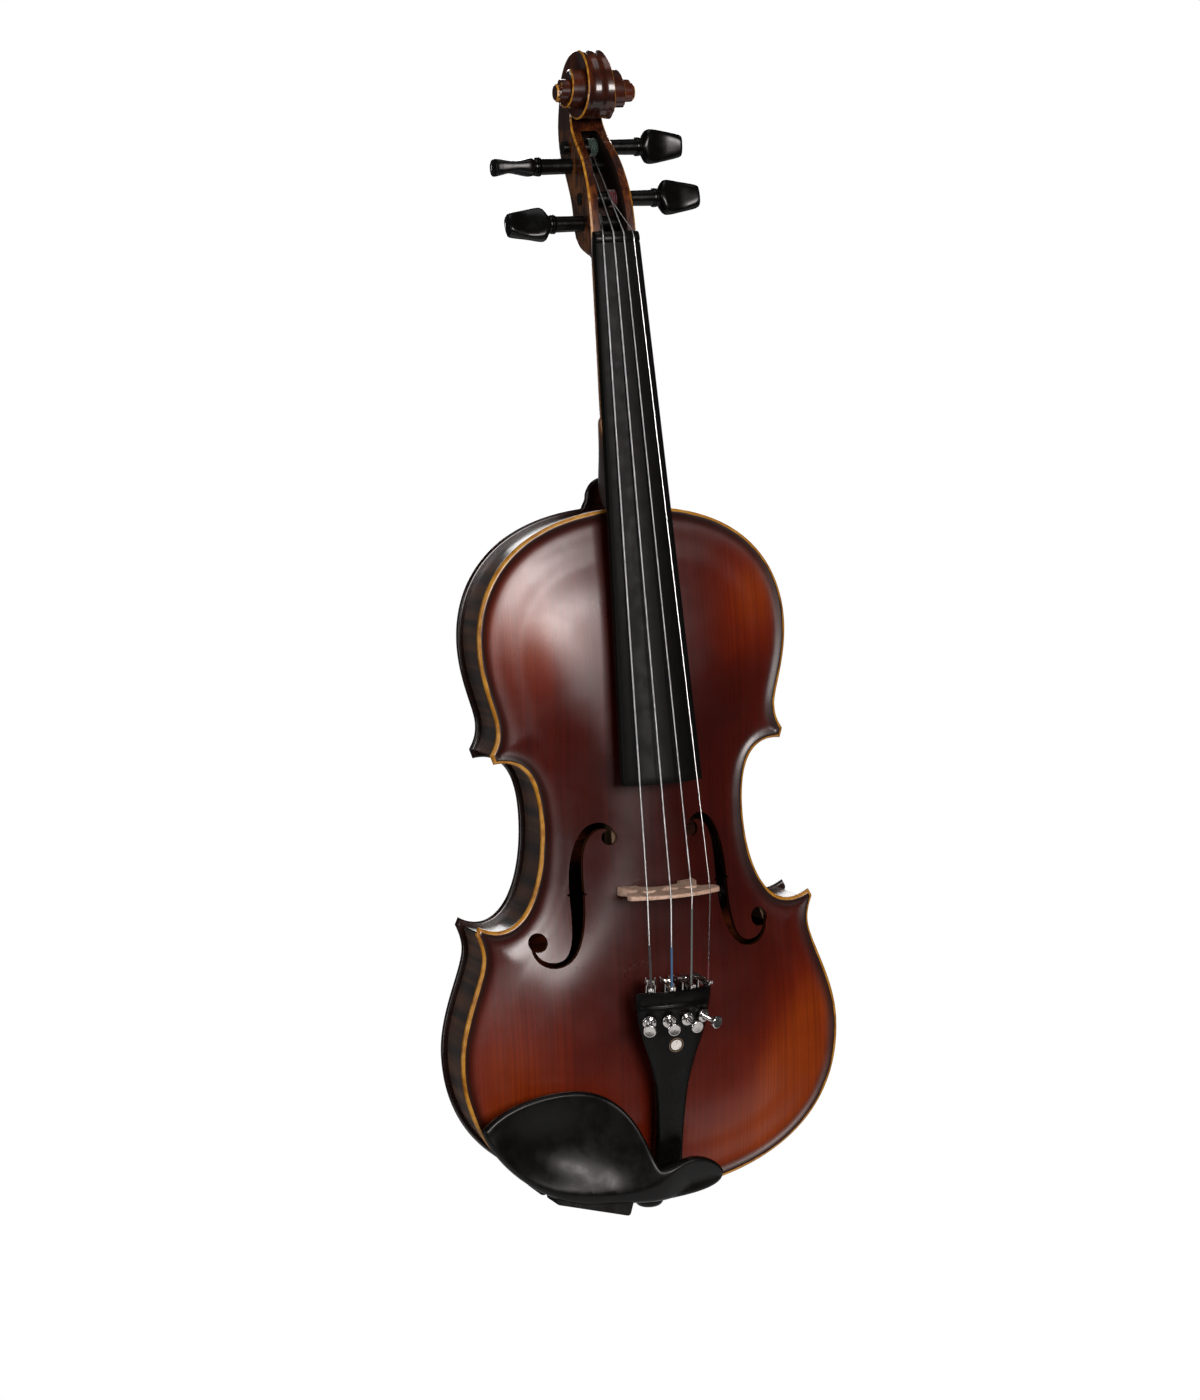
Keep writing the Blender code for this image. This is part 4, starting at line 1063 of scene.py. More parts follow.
def head_chamfer(plane, half, rim, rim_line):
    """1 on the bare chamfers of the rim, of the spiral's raised turns and of the eye."""
    z = plane[:, 1]
    from_eye = np.linalg.norm(plane - VOLUTE_EYE, axis=1)
    on_rim = (distance(plane, rim) < CHAMFER + 0.05) & (z > 491)
    raised = half > np.interp(z, *zip(*CHEEKS)) + 0.4
    on_turn = (distance(plane, rim_line) < CHAMFER + 0.05) & raised & (from_eye > EYE_RADIUS + 0.3)
    on_eye = (from_eye < EYE_RADIUS + 0.02) & (from_eye > EYE_RADIUS - CHAMFER - 0.05)
    return (on_rim | on_turn | on_eye).astype(float)


def rim_order(faces):
    """The points of a triangulation's one rim, in turn."""
    edges = rim_edges(faces)
    following = {int(a): int(b) for a, b in edges}
    order = [int(edges[0][0])]
    while len(order) < len(edges):
        order.append(following[order[-1]])
    return np.array(order)


def make_head():
    """Two carved sides and a fluted wall between them, with the pegbox cut out."""
    outline, front = head_outline(0.9)
    rim_line = VOLUTE[VOLUTE[:, 0] >= THROAT - 0.3][:, 1:]
    plane, faces = head_triangles(outline, spaced(rim_line, 0.7))
    half = head_half(plane)
    count = len(plane)
    chamfer = head_chamfer(plane, half, closed(outline), rim_line)
    cheek = 1 - smooth_step((plane[:, 1] - 543) / 12)
    sides = [np.column_stack([sign * half, plane[:, 0], plane[:, 1]]) for sign in (-1, 1)]
    chamfers, cheeks = [chamfer, chamfer], [cheek, cheek]
    order = rim_order(faces)
    loop = plane[order]
    facing = closed(loop)
    area = 0.5 * np.sum(facing[:-1, 0] * facing[1:, 1] - facing[1:, 0] * facing[:-1, 1])
    inward = offset(loop, 1.0 if area > 0 else -1.0) - loop
    on_front = distance(loop, front) < 0.3
    depth = 0.5 * smooth_step((loop[:, 1] - 492) / 16) * np.where(on_front, 0.0, 1.0)
    depth = evened_loop(depth, 24)
    columns = 17
    rows = []
    for k in range(1, columns):
        u = -1 + 2 * k / columns
        wave = math.sin(math.pi * u) ** 2
        flat = loop + inward * (depth * wave)[:, None]
        rows.append(np.column_stack([u * half[order], flat[:, 0], flat[:, 1]]))
        chamfers.append(np.full(len(loop), 0.35 if abs(u) > 0.93 else 0.0))
        cheeks.append(np.where(on_front, 0.3, 0.0))
    solid = two_sides(faces, count)
    inner_strips = [2 * count + k * len(loop) + np.arange(len(loop)) for k in range(columns - 1)]
    strips = [order, *inner_strips, order + count]
    for low, high in zip(strips, strips[1:]):
        for i in range(len(loop)):
            j = (i + 1) % len(loop)
            solid.append((low[i], high[i], high[j], low[j]))
    points = np.concatenate([*sides, *rows])
    values = {"chamfer": np.concatenate(chamfers), "cheek": np.concatenate(cheeks)}
    slot = "varnished_maple"
    head = make("neck_head", points, solid, HEAD, node="neck", slot=slot, values=values, sharp=32)
    cutter = make_cavity()
    cutter.data.materials.append(HOLLOW)
    head.data.materials.append(HOLLOW)
    modified(head, "BOOLEAN", operation="DIFFERENCE", solver="EXACT", object=cutter)
    bpy.data.objects.remove(cutter)
    head.data.set_sharp_from_angle(angle=math.radians(32))
    keep_chamfers(head.data)


def keep_chamfers(mesh):
    """The bare chamfers are the faces near an edge that slope between the sides and the walls."""
    near = np.empty(len(mesh.vertices))
    mesh.attributes["chamfer"].data.foreach_get("value", near)
    slope = mesh.attributes.new("slope", "FLOAT", "FACE")
    found = []
    for face in mesh.polygons:
        mean = near[list(face.vertices)].mean()
        found.append(float(mean > 0.45 and 0.28 < abs(face.normal.x) < 0.93))
    slope.data.foreach_set("value", found)


def evened_loop(values, rounds):
    for _ in range(rounds):
        values = (np.roll(values, 1) + values + np.roll(values, -1)) / 3
    return values


def make_cavity():
    """The pegbox's hollow, as a solid to cut away."""
    # z, front, back, half width
    sections = (
        (494.3, -26.0, 1.0, 7.4),
        (500.0, -26.0, 3.2, 7.4),
        (511.0, -24.0, 6.4, 7.0),
        (520.5, -20.0, 11.4, 6.5),
        (530.0, -15.0, 19.0, 6.0),
        (538.5, -8.0, 24.5, 5.4),
        (544.0, -1.0, 26.0, 4.9),
        (546.5, 3.0, 22.0, 4.4),
    )
    rings = []
    bevel = 2.5
    for z, front, back, half in through(sections, 4):
        ring = [(-half, front), (half, front), (half, back - bevel), (half - bevel, back)]
        ring += [(bevel - half, back), (-half, back - bevel)]
        rings.append([(x, y, z) for x, y in ring])
    points, faces = skin(rings)
    mesh = bpy.data.meshes.new("cavity")
    mesh.from_pydata(lifted(points).tolist(), [], faces)
    clean(mesh)
    return placed("cavity", mesh)


def crown(z):
    """Height of the fingerboard's crown."""
    return CROWN_AT_NUT - NECK_SLOPE * (NUT_Z - z)


def board_half(z):
    return BOARD_HALF[0] + (BOARD_HALF[1] - BOARD_HALF[0]) * (NUT_Z - z) / BOARD_LENGTH


def sagitta(half, radius):
    """How far an arc of a radius drops at a distance from its middle."""
    return radius - np.sqrt(radius * radius - half * half)


def glue_line(z):
    """Height of the joint between the fingerboard and the neck."""
    drops = [sagitta(half, BOARD_RADIUS) for half in BOARD_HALF]
    t = (NUT_Z - z) / BOARD_LENGTH
    return crown(z) + drops[0] + (drops[1] - drops[0]) * t + BOARD_SIDE


def make_neck():
    """The shaft and the heel: one loft whose sections tilt more and more towards the heel's end.

    The last section slopes away from the ribs, so a wedge stays open under the heel.
    """
    count = 40
    turns = np.linspace(0, np.pi, count)
    across, bulge = np.cos(turns), np.sin(turns) ** 0.8
    shaft_end = 402.0
    rings, stains = [], []
    for z in np.linspace(492.0, shaft_end, 24):
        t = (NUT_Z - z) / (NUT_Z - NECK_ROOT_Z)
        half = board_half(z) - 0.15
        front = glue_line(z)
        back = crown(z) + 18.7 + 1.6 * t
        rings.append(np.column_stack([half * across, front + (back - front) * bulge, np.full(count, z)]))
        stains.append(smooth_step((z - 470) / 16))
    for t in np.linspace(0, 1, 26)[1:]:
        tilt = math.pi / 2 * t
        half = 15.85 + (10.4 - 15.85) * smooth_step(t * 1.1)
        back = -12.4 + (RIB_HALF + 12.4) * math.sin(tilt) ** 1.25 if t < 1 else RIB_HALF
        top = shaft_end - 31.0 * (1 - math.cos(tilt)) ** 0.62
        front = glue_line(shaft_end) + (glue_line(NECK_ROOT_Z) - glue_line(shaft_end)) * t
        edge_z = shaft_end + (NECK_ROOT_Z - shaft_end) * t
        z = edge_z + (top - edge_z) * bulge**1.4
        rings.append(np.column_stack([half * across, front + (back - front) * bulge, z]))
        stains.append(smooth_step((t - 0.02) / 0.35))
    values = {"stain": np.repeat(stains, count)}
    make("neck_shaft", *skin(rings), SHAFT, node="neck", slot="varnished_maple", values=values, sharp=50)


def board_ring(z, half, front_at, back, bevel=0.5, count=24):
    """An arched front with softened corners and a flat back."""
    x = np.linspace(-half + bevel, half - bevel, count)
    ring = [(v, front_at + sagitta(abs(v), BOARD_RADIUS), z) for v in x]
    corner = front_at + sagitta(half, BOARD_RADIUS)
    ring += [(half - bevel * 0.3, corner + bevel * 0.15, z), (half, corner + bevel, z), (half, back, z)]
    ring += [(-half, back, z), (-half, corner + bevel, z), (-half + bevel * 0.3, corner + bevel * 0.15, z)]
    return ring


def make_fingerboard():
    rings = []
    for z, less in ((NUT_Z - 0.05, 0.35), (NUT_Z - 0.35, 0.0)):
        half = board_half(z)
        rings.append(board_ring(z, half - less, crown(z) + less, glue_line(z)))
    for z in np.linspace(NUT_Z - 8, NUT_Z - BOARD_LENGTH + 4, 16):
        rings.append(board_ring(z, board_half(z), crown(z), glue_line(z)))
    for over, less in ((0.5, 0.0), (0.1, 0.25), (0.0, 0.6)):
        z = NUT_Z - BOARD_LENGTH + over
        rings.append(board_ring(z, board_half(z) - less, crown(z) + less, glue_line(z) - less))
    make("fingerboard_shaped", *skin(rings), BOARD_EBONY, node="fingerboard", slot="ebony")


def make_nut():
    """The nut, with a groove for each string."""
    rings = []
    back = glue_line(NUT_Z) - 0.05
    for z, drop in ((0.0, 0.9), (0.25, 0.35), (0.9, 0.0), (2.4, 0.05), (4.0, 0.6), (5.1, 1.6), (5.6, 2.9)):
        front = NUT_CROWN + drop
        ring = np.array(board_ring(NUT_Z + z, BOARD_HALF[0] - drop * 0.1, front, back, 0.5, 60))
        for place in STRING_PLACE.values():
            groove = np.exp(-(((ring[:, 0] - place * SPREAD_NUT) / 0.45) ** 2))
            ring[:, 1] += 0.32 * groove * (ring[:, 1] < STRING_AT_NUT + 6)
        rings.append(ring)
    make("nut_shaped", *skin(rings), EBONY, node="nut", slot="ebony")


# Pegs


def joint_place(name):
    """A joint's place in the body's frame."""
    x, y, z = JOINTS[name]["pos_m"]
    return x / MM, y / MM, z / MM - LIFT


PEG_TURNS = {"g": 25.0, "e": -12.0, "d": 90.0, "a": 5.0}
PEG_SIDES = {"g": -1, "d": -1, "a": 1, "e": 1}
# Along the axis from the middle of the pegbox: place, half thickness, half width, squareness
PEG_SECTIONS = (
    (-12.3, 3.2, 3.2, 2.0),
    (12.5, 3.9, 3.9, 2.0),
    (27.2, 4.15, 4.15, 2.0),
    (27.4, 4.75, 4.75, 2.0),
    (28.0, 4.9, 4.9, 2.0),
    (28.3, 4.35, 4.35, 2.0),
    (28.6, 4.8, 4.8, 2.0),
    (29.2, 4.8, 4.8, 2.0),
    (29.5, 4.25, 4.25, 2.0),
    (29.8, 4.6, 4.6, 2.0),
    (30.3, 4.6, 4.6, 2.0),
    (30.7, 4.3, 4.4, 2.0),
    (31.6, 4.6, 6.2, 2.2),
    (32.9, 4.8, 8.3, 2.6),
    (34.6, 4.4, 9.0, 3.2),
    (37.4, 3.6, 8.8, 3.6),
    (41.0, 2.9, 8.1, 3.8),
    (45.0, 3.1, 7.3, 3.8),
    (48.8, 4.0, 6.5, 3.4),
    (51.2, 4.5, 5.9, 3.0),
    (52.1, 4.3, 5.5, 2.8),
    (52.4, 3.6, 4.8, 2.6),
)


def peg_sections():
    """The peg's sections with more of them on the head, and the head's softened."""
    sections = []
    for a, b in zip(PEG_SECTIONS, PEG_SECTIONS[1:]):
        steps = 3 if a[0] >= 30.7 else 1
        for t in np.arange(steps) / steps:
            sections.append([u + (v - u) * t for u, v in zip(a, b)])
    sections.append(PEG_SECTIONS[-1])
    sections = np.array(sections)
    paddle = sections[:, 0] > 31
    for column in (1, 2):
        for _ in range(2):
            soft = sections[:, column].copy()
            soft[1:-1] = (sections[:-2, column] + 2 * sections[1:-1, column] + sections[2:, column]) / 4
            sections[paddle, column] = soft[paddle]
    return sections


def make_peg(string):
    _, y, z = joint_place(f"{string}_peg_turn")
    sign, turn = PEG_SIDES[string], math.radians(PEG_TURNS[string])
    count = 48
    angles = 2 * np.pi * np.arange(count) / count
    rings = []
    for x, thick, wide, power in peg_sections():
        c, s = np.cos(angles), np.sin(angles)
        across = thick * np.sign(c) * np.abs(c) ** (2 / power)
        tall = wide * np.sign(s) * np.abs(s) ** (2 / power)
        y_turned = across * math.cos(turn) - tall * math.sin(turn)
        z_turned = across * math.sin(turn) + tall * math.cos(turn)
        rings.append(np.column_stack([np.full(count, sign * x), y + sign * y_turned, z + z_turned]))
    pip = turned(((1.9, 52.2), (1.9, 52.55), (1.6, 52.8), (0.3, 53.0)), (0, y, z), (sign, 0, 0), 24)
    peg = f"{string}_peg"
    make(f"{peg}_shaped", *joined(skin(rings), pip), PEG_EBONY, peg, peg, "ebony", sharp=42)


# Bridge


def bridge_line(x):
    """Height of the bridge's top edge."""
    return BRIDGE_TOP + 1.2 + sagitta(np.abs(x), BOARD_RADIUS)


def plate_foot():
    """Height of the top plate under the bridge."""
    place = np.array([(0.0, BRIDGE_Z)])
    arch = arching(place, TOP_ARCH, distance(place, closed(FINE)))[0]
    return -(RIB_HALF + 3.0 + arch) - 0.5


def bridge_holes(middle):
    """The heart and the two kidneys, about a height."""
    a = np.linspace(0, 2 * np.pi, 40, endpoint=False)
    lobes = 13 * np.cos(a) - 5 * np.cos(2 * a) - 2 * np.cos(3 * a) - np.cos(4 * a)
    holes = [np.column_stack([4.6 * np.sin(a) ** 3, middle - 0.30 * lobes])]
    for sign in (-1, 1):
        across = sign * (11.2 + 3.6 * np.cos(a))
        holes.append(np.column_stack([across, middle - 2.0 + 2.6 * np.sin(a) + 1.2 * np.cos(a) ** 2]))
    return holes


def make_bridge():
    foot = plate_foot()
    end = bridge_line(BRIDGE_HALF)
    x = np.linspace(0, BRIDGE_HALF, 26)
    top = np.column_stack([x, bridge_line(x)])
    side = chain(
        (
            ((BRIDGE_HALF, end), (25.5, end + 3), (24.5, end + 8), (20.5, end + 8.5)),
            ((20.5, end + 8.5), (15.5, end + 9), (14.5, end + 12), (17.0, end + 15)),
            ((17.0, end + 15), (20.0, foot - 6), (20.8, foot - 3), (20.8, foot + 1.6)),
        ),
        12,
    )
    under = bezier(((11.5, foot), (12.0, foot - 5), (7.0, foot - 9), (0, foot - 9)), 14, True)
    half = np.concatenate([top[:-1], side, under])
    outline = whole(half)
    height = foot - BRIDGE_TOP
    holes = bridge_holes(BRIDGE_TOP + 0.48 * height)
    loops = [outline, *holes]
    grid = lattice((-26, BRIDGE_TOP), (26, foot + 3), 1.3)
    grid = grid[inside(grid, outline)]
    for loop in loops:
        grid = clear_of(grid, closed(loop), 0.8)
    rings = [clear_of(offset(loop, depth), closed(loop), 0.3) for loop in loops for depth in (-0.35, 0.35)]
    extra = np.concatenate([grid, *rings])
    plane, faces = triangles([(loop, True) for loop in loops], extra, between(outline, holes))
    away = np.min([distance(plane, closed(loop)) for loop in loops], axis=0)
    round_off = 0.3 * (1 - np.clip(away / 0.35, 0, 1)) ** 2
    taper = np.clip((foot - plane[:, 1]) / height, 0, 1)
    lean = 2.0 * (1 - taper)
    low_z = BRIDGE_Z - BRIDGE_THICK / 2 + round_off - lean
    high_z = BRIDGE_Z + BRIDGE_THICK / 2 - 3.0 * taper - round_off - lean
    points = np.concatenate([np.column_stack([plane, z]) for z in (low_z, high_z)])
    solid = slab_faces(faces, len(plane))
    make("bridge_carved", points, solid, BRIDGE, node="bridge", slot="bridge_maple", sharp=50)


# Tailpiece and tuners

# z, half width, thickness, radius of the arched front
TAIL_SECTIONS = (
    (8, 6.6, 6.5, 22),
    (11, 7.8, 7.6, 24),
    (22, 7.4, 7.8, 26),
    (40, 7.5, 7.6, 26),
    (60, 8.8, 7.0, 28),
    (74, 11.8, 6.2, 32),
    (86, 15.8, 5.5, 40),
    (97, 18.8, 5.5, 40),
    (108, 20.3, 5.5, 40),
    (113, 20.5, 5.5, 40),
)


def tail_front(z):
    """Height of the tailpiece's front along its middle."""
    return TAIL_FRONT[1] + TAIL_SLOPE * (z - TAIL_END_Z)


def make_tailpiece():
    smooth = through(TAIL_SECTIONS, 10)
    rings = []
    count = 30
    ends = (TAIL_END_Z + 0.3, TAIL_END_Z + 1.0, TAIL_TOP_Z - 0.1, TAIL_TOP_Z)
    ridge_sides = [TAIL_RIDGE_Z + shift for shift in (-1.9, -1.5, -0.9, 0.9, 1.5, 1.9)]
    for z in sorted([*np.linspace(TAIL_END_Z, TAIL_TOP_Z - 0.4, 60), *ends, *ridge_sides]):
        half, thickness, radius = (np.interp(z, smooth[:, 0], smooth[:, k]) for k in (1, 2, 3))
        end = max(0.0, 0.9 - min(z - TAIL_END_Z, TAIL_TOP_Z - z)) ** 2 * 0.9
        front = tail_front(z) + end
        ridge = 0.9 * math.exp(-(((z - TAIL_RIDGE_Z) / 1.5) ** 4))
        half -= end
        x = np.linspace(-1, 1, count)
        edge = 1 - np.abs(x) ** 14
        ring = []
        for v, e in zip(x, edge):
            wide = v * half
            over = 1.3 * (1 - e) - ridge * (abs(v) < 0.93)
            ring.append((wide, front + sagitta(abs(wide), radius) + over, z))
        for v in x[::-1]:
            wide = 0.93 * v * half
            under = front + thickness - 2 * end + sagitta(abs(wide), radius) - 1.0 * abs(v) ** 10
            ring.append((wide, under, z))
        rings.append(ring)
    make("tailpiece_shaped", *skin(rings), EBONY, node="tailpiece", slot="ebony", sharp=40)
    centre, normal = (0, tail_front(TAIL_DOT_Z), TAIL_DOT_Z), (0, -1, TAIL_SLOPE)
    dot = turned(((2.9, -0.8), (2.9, 0.06), (2.6, 0.16), (0.2, 0.2)), centre, normal, 40)
    make("tail_dot", *dot, PEARL)
    ring = turned(((3.9, -0.7), (3.9, 0.04), (3.75, 0.08), (3.55, 0.04), (3.55, -0.7)), centre, normal, 48)
    make("tail_dot_ring", *ring, RING)


def tuner_place(string):
    """Moves points from the tuner's own axes into the body's frame: y into the tailpiece, z along it."""
    knob = JOINTS[f"{string}_knob_turn"]
    lever = JOINTS[f"{string}_lever_tilt"]
    y = Vector(knob["axis"]).normalized()
    x = Vector(lever["axis"]).normalized()
    z = x.cross(y)
    origin = Vector(knob["pos_m"]) / MM - Vector((0, 0, LIFT))
    axes = np.array([x, y, z])
    return lambda points: np.asarray(points, float) @ axes + np.array(origin)


def make_tuner(string):
    put = tuner_place(string)
    origin, inward = (0, 0, 0), (0, 1, 0)

    def piece(kind, look, shape, moving=True, sharp=38.0):
        """A tuner piece that rides on its own body, or on root where it doesn't move."""
        points, faces = shape
        node = f"{string}_tuner_{kind}"
        body = node if moving else "root"
        make(f"{string}_{look}", put(points), faces, CHROME, body, node, "chrome", sharp=sharp)

    def knurl(a, i):
        """36 shallow ribs on the profile's middle points."""
        return 1 + 0.012 * math.cos(36 * a) * (2 <= i <= 8)

    knob = [(0.05, 0), (1.6, 0), (1.6, -0.35), (3.0, -0.6), (3.35, -0.9)]
    knob += [(3.35, -2.2), (3.0, -2.6), (2.3, -2.55), (0.05, -2.45)]
    turned_knob = turned(rounded_profile(knob, 0.2), (0, -9.3, 0), inward, 96, knurl)
    piece("knob", "knob_turned", turned_knob, sharp=30)
    thread = [(0.9, -9.15), (1.2, -9.0)]
    for k in range(44):
        y = -8.9 + k * 0.41
        thread += [(1.2, y), (1.05, y + 0.14), (1.2, y + 0.28)]
    thread += [(1.2, 9.2), (0.7, 9.3)]
    piece("screw", "screw_threaded", turned(thread, origin, inward, 24))
    ring = [(2.3, -0.3), (3.2, -0.3), (3.55, -0.6), (3.55, -1.6), (3.3, -1.95)]
    ring += [(2.5, -2.1), (2.2, -2.35), (1.5, -2.35), (1.5, -0.3), (2.3, -0.3)]
    turned_ring = turned(rounded_profile(ring, 0.15), origin, inward, 48, knurl)
    piece("nut", "ring_turned", turned_ring, moving=False, sharp=30)
    piece("bracket", "bracket_shaped", bracket_shape(), moving=False, sharp=40)
    piece("lever", "lever_shaped", lever_shape(), sharp=40)


def block(low, high, bevel=0.25):
    """A box with bevelled edges, as a loft along z."""
    (x0, y0, z0), (x1, y1, z1) = low, high
    rings = []
    for z, less in ((z0, bevel), (z0 + bevel, 0), (z1 - bevel, 0), (z1, bevel)):
        a, b, c, d = x0 + less, x1 - less, y0 + less, y1 - less
        ring = [(a + bevel, c), (b - bevel, c), (b, c + bevel), (b, d - bevel)]
        ring += [(b - bevel, d), (a + bevel, d), (a, d - bevel), (a, c + bevel)]
        rings.append([(x, y, z) for x, y in ring])
    return skin(rings)


def swept(line, half_thick, half_wide):
    """A flat strip swept along a line in the yz plane, wide along x, with rounded edges."""
    line = np.asarray(line, float)
    normal = left_of(directions(line))
    thick = np.broadcast_to(half_thick, len(line))
    section = [(-1, -0.5), (-0.8, -1), (0.8, -1), (1, -0.5), (1, 0.5), (0.8, 1), (-0.8, 1), (-1, 0.5)]
    rings = []
    for p, n, t in zip(line, normal, thick):
        rings.append([(u * half_wide, *(p + n * v * t)) for u, v in section])
    return skin(rings)


def bracket_shape():
    """A base behind the tailpiece with two ears and the lever's pin between them."""
    base = block((-2.6, 5.8, -4), (2.6, 7.4, 20))
    ears = []
    for x in (-2.25, 2.25):
        ears.append(block((x - 0.4, 1.0, 15.2), (x + 0.4, 11.0, 19.6)))
    pin = turned(((0.7, -3.0), (0.9, -2.85), (0.9, 2.85), (0.7, 3.0)), (0, 9.0, 17.5), (1, 0, 0), 20)
    return joined(base, *ears, pin)


def lever_shape():
    """A bent lever: its arm lies behind the tailpiece, and its two prongs reach over the end."""
    arm = swept([(10.75, -3.0), (10.75, 6.0), (10.75, 14.0), (10.3, 16.4), (9.0, 17.5)], 0.7, 1.35)
    prongs = []
    for x in (-1.0, 1.0):
        line = through(((9.0, 17.5), (5.0, 18.3), (0.5, 18.3), (-2.6, 17.7), (-4.4, 18.6), (-5.0, 20.4)), 5)
        points, faces = swept(line, np.linspace(0.95, 0.5, len(line)), 0.42)
        points[:, 0] += x
        prongs.append((points, faces))
    bridge = swept([(9.6, 17.0), (7.5, 17.9), (5.6, 18.2)], 0.8, 1.35)
    return joined(arm, bridge, *prongs)


# Strings

TAIL_SILK = {"g": "black", "d": "blue", "a": "grey", "e": "red"}
TAIL_SILK_SHARE = {"g": 0.50, "d": 0.46, "a": 0.86, "e": 0.22}
PEG_SILK = {"g": "black", "d": "black", "a": "green", "e": "red"}


def string_line(string):
    """The string's line in three runs: tuner hook to bridge, bridge to nut, and nut to peg."""
    put = tuner_place(string)
    radius, place = STRING_RADII[string], STRING_PLACE[string]
    _, peg_y, peg_z = joint_place(f"{string}_peg_turn")
    hook = put([(0, -3.2, 19.2)])[0]
    bridge_x, nut_x = place * SPREAD_BRIDGE, place * SPREAD_NUT
    bridge_y = bridge_line(bridge_x) - radius * 0.55
    nut_y = NUT_CROWN + sagitta(abs(nut_x), BOARD_RADIUS) - radius * 0.4
    on_bridge, on_nut = (bridge_x, bridge_y, BRIDGE_Z - 0.8), (nut_x, nut_y, NUT_Z + 0.4)
    tail = [hook, (bridge_x, bridge_y + 0.1, BRIDGE_Z - BRIDGE_THICK / 2), on_bridge]
    long = [on_bridge, on_nut]
    head = [
        on_nut,
        (nut_x, nut_y + 0.05, NUT_Z + 2.6),
        (nut_x * 0.98, nut_y + 0.8, NUT_Z + 5.2),
        (place * 2.2, peg_y - 4.0 - radius, peg_z - 1.0),
    ]
    return np.array(tail, float), np.array(long, float), np.array(head, float)


def make_string(string):
    tail, long, head = string_line(string)
    radius = STRING_RADII[string]
    steel = PLAIN_STEEL if string == "e" else STEEL
    line = np.concatenate([tail, long[1:], head[1:]])
    line = np.concatenate([spaced(line[i : i + 2], 6.0)[:-1] for i in range(len(line) - 1)] + [line[-1:]])
    drawn = tube(line, radius, 10)
    make(f"{string}_string_drawn", *drawn, steel, node=f"{string}_string", slot="string_steel", sharp=60)
    hook, bridge = tail[0], tail[1]
    lap = hook + (bridge - hook) * TAIL_SILK_SHARE[string]
    wrap = tube(spaced(np.array([lap, hook]), 2.0), radius + 0.1, 10)
    make(f"{string}_tail_silk", *wrap, SILK[TAIL_SILK[string]], slot="string_steel", sharp=60)
    profile = rounded_profile(((0.5, -0.8), (1.25, -0.75), (1.25, 0.75), (0.5, 0.8)), 0.4)
    centre = tuner_place(string)([(0, -3.2, 18.9)])[0]
    ball = turned(profile, centre, JOINTS[f"{string}_lever_tilt"]["axis"], 20)
    make(f"{string}_ball_end", *ball, PLAIN_STEEL, slot="string_steel")
    make_winding(string, head[-1][0])


def make_winding(string, start):
    """The silk-covered turns of string round the peg, from where the string meets it."""
    _, y, z = joint_place(f"{string}_peg_turn")
    radius = STRING_RADII[string]
    turns, run, first = 4.5, 4.5, math.pi * 1.05
    angles = np.linspace(first, first + 2 * math.pi * turns, 150)
    core = 3.75 + radius + 0.1
    x = start + PEG_SIDES[string] * run * (angles - angles[0]) / (angles[-1] - angles[0])
    line = np.column_stack([x, y + core * np.cos(angles), z - core * np.sin(angles)])
    coil = tube(line, radius + 0.12, 8)
    make(f"{string}_winding", *coil, SILK[PEG_SILK[string]], f"{string}_peg", slot="string_steel", sharp=60)


# Lower end

CHINREST = (
    ((-10.8, 21.2), (-16.5, 29), (-19, 65), (-57, 65)),
    ((-57, 65), (-75, 65), (-92, 60), (-101.5, 51)),
    ((-101.5, 51), (-97, 36), (-75, 7.3), (-40, 4.6)),
    ((-40, 4.6), (-20, 3.2), (-6, 2.6), (7, 4)),
    ((7, 4), (18.5, 5.2), (27.3, 8), (25.2, 14)),
    ((25.2, 14), (22.5, 20), (14, 25.3), (6.5, 24.8)),
    ((6.5, 24.8), (0, 24), (-6, 21), (-10.8, 21.2)),
)
CREASE = ((-96, 40), (-82, 26.5), (-66, 16.5), (-48, 11.5), (-30, 9.8))
CREASE += ((-16, 12.5), (-6, 18.5), (6, 24.5), (30, 26))
BARREL_NAMES = ("inner", "outer")


def chinrest_middle(x, z):
    """Height of the chinrest's middle surface, with its cup on the bass side."""
    cup = 6.0 * np.exp(-(((x + 66) / 30) ** 2) - ((z - 37) / 22) ** 2)
    return -37.0 - 8.0 * smooth_step((x + 38) / 34) + cup


def make_chinrest():
    """A dished plate that rolls away beyond its crease."""
    outline = spaced(closed(chain(CHINREST, 20, False)), 0.9)[:-1]
    rim = closed(outline)
    rings = inner_rings(outline, (0.12, 0.4, 0.8, 1.4, 2.1, 3.0, 4.2, 5.8))
    extra = np.concatenate([*rings, clear_of(lattice((-106, -1), (30, 69), 1.7), rim, 6.6)])
    extra = extra[inside(extra, outline)]
    plane, faces = triangles([(outline, True)], extra, between(outline, []))
    x, z = plane[:, 0], plane[:, 1]
    away = distance(plane, rim)
    middle = chinrest_middle(x, z)
    crease = through(CREASE, 10)
    to_crease = distance(plane, crease)
    beyond = np.where(z < np.interp(x, crease[:, 0], crease[:, 1]), to_crease, 0)
    within = np.where(beyond > 0, 0, to_crease)
    lip = 2.0 * np.exp(-((within / 9.0) ** 2))
    roll = np.clip(beyond / 14, 0, 1) ** 1.6 * 5.5
    t = np.clip((2.2 - away) / 2.2, 0, 1)
    round_off = 2.3 * (1 - np.sqrt(np.maximum(0, 1 - t * t)))
    front = middle - 2.5 - lip * np.exp(-beyond / 6) + roll + round_off
    back = np.maximum(middle + 2.5 - round_off * 0.8, front + 0.4)
    points, solid = slab_mesh(plane, faces, front, back)
    make("chinrest_shaped", points, solid, REST_EBONY, node="chinrest", slot="ebony", sharp=45)
    make_clamp()


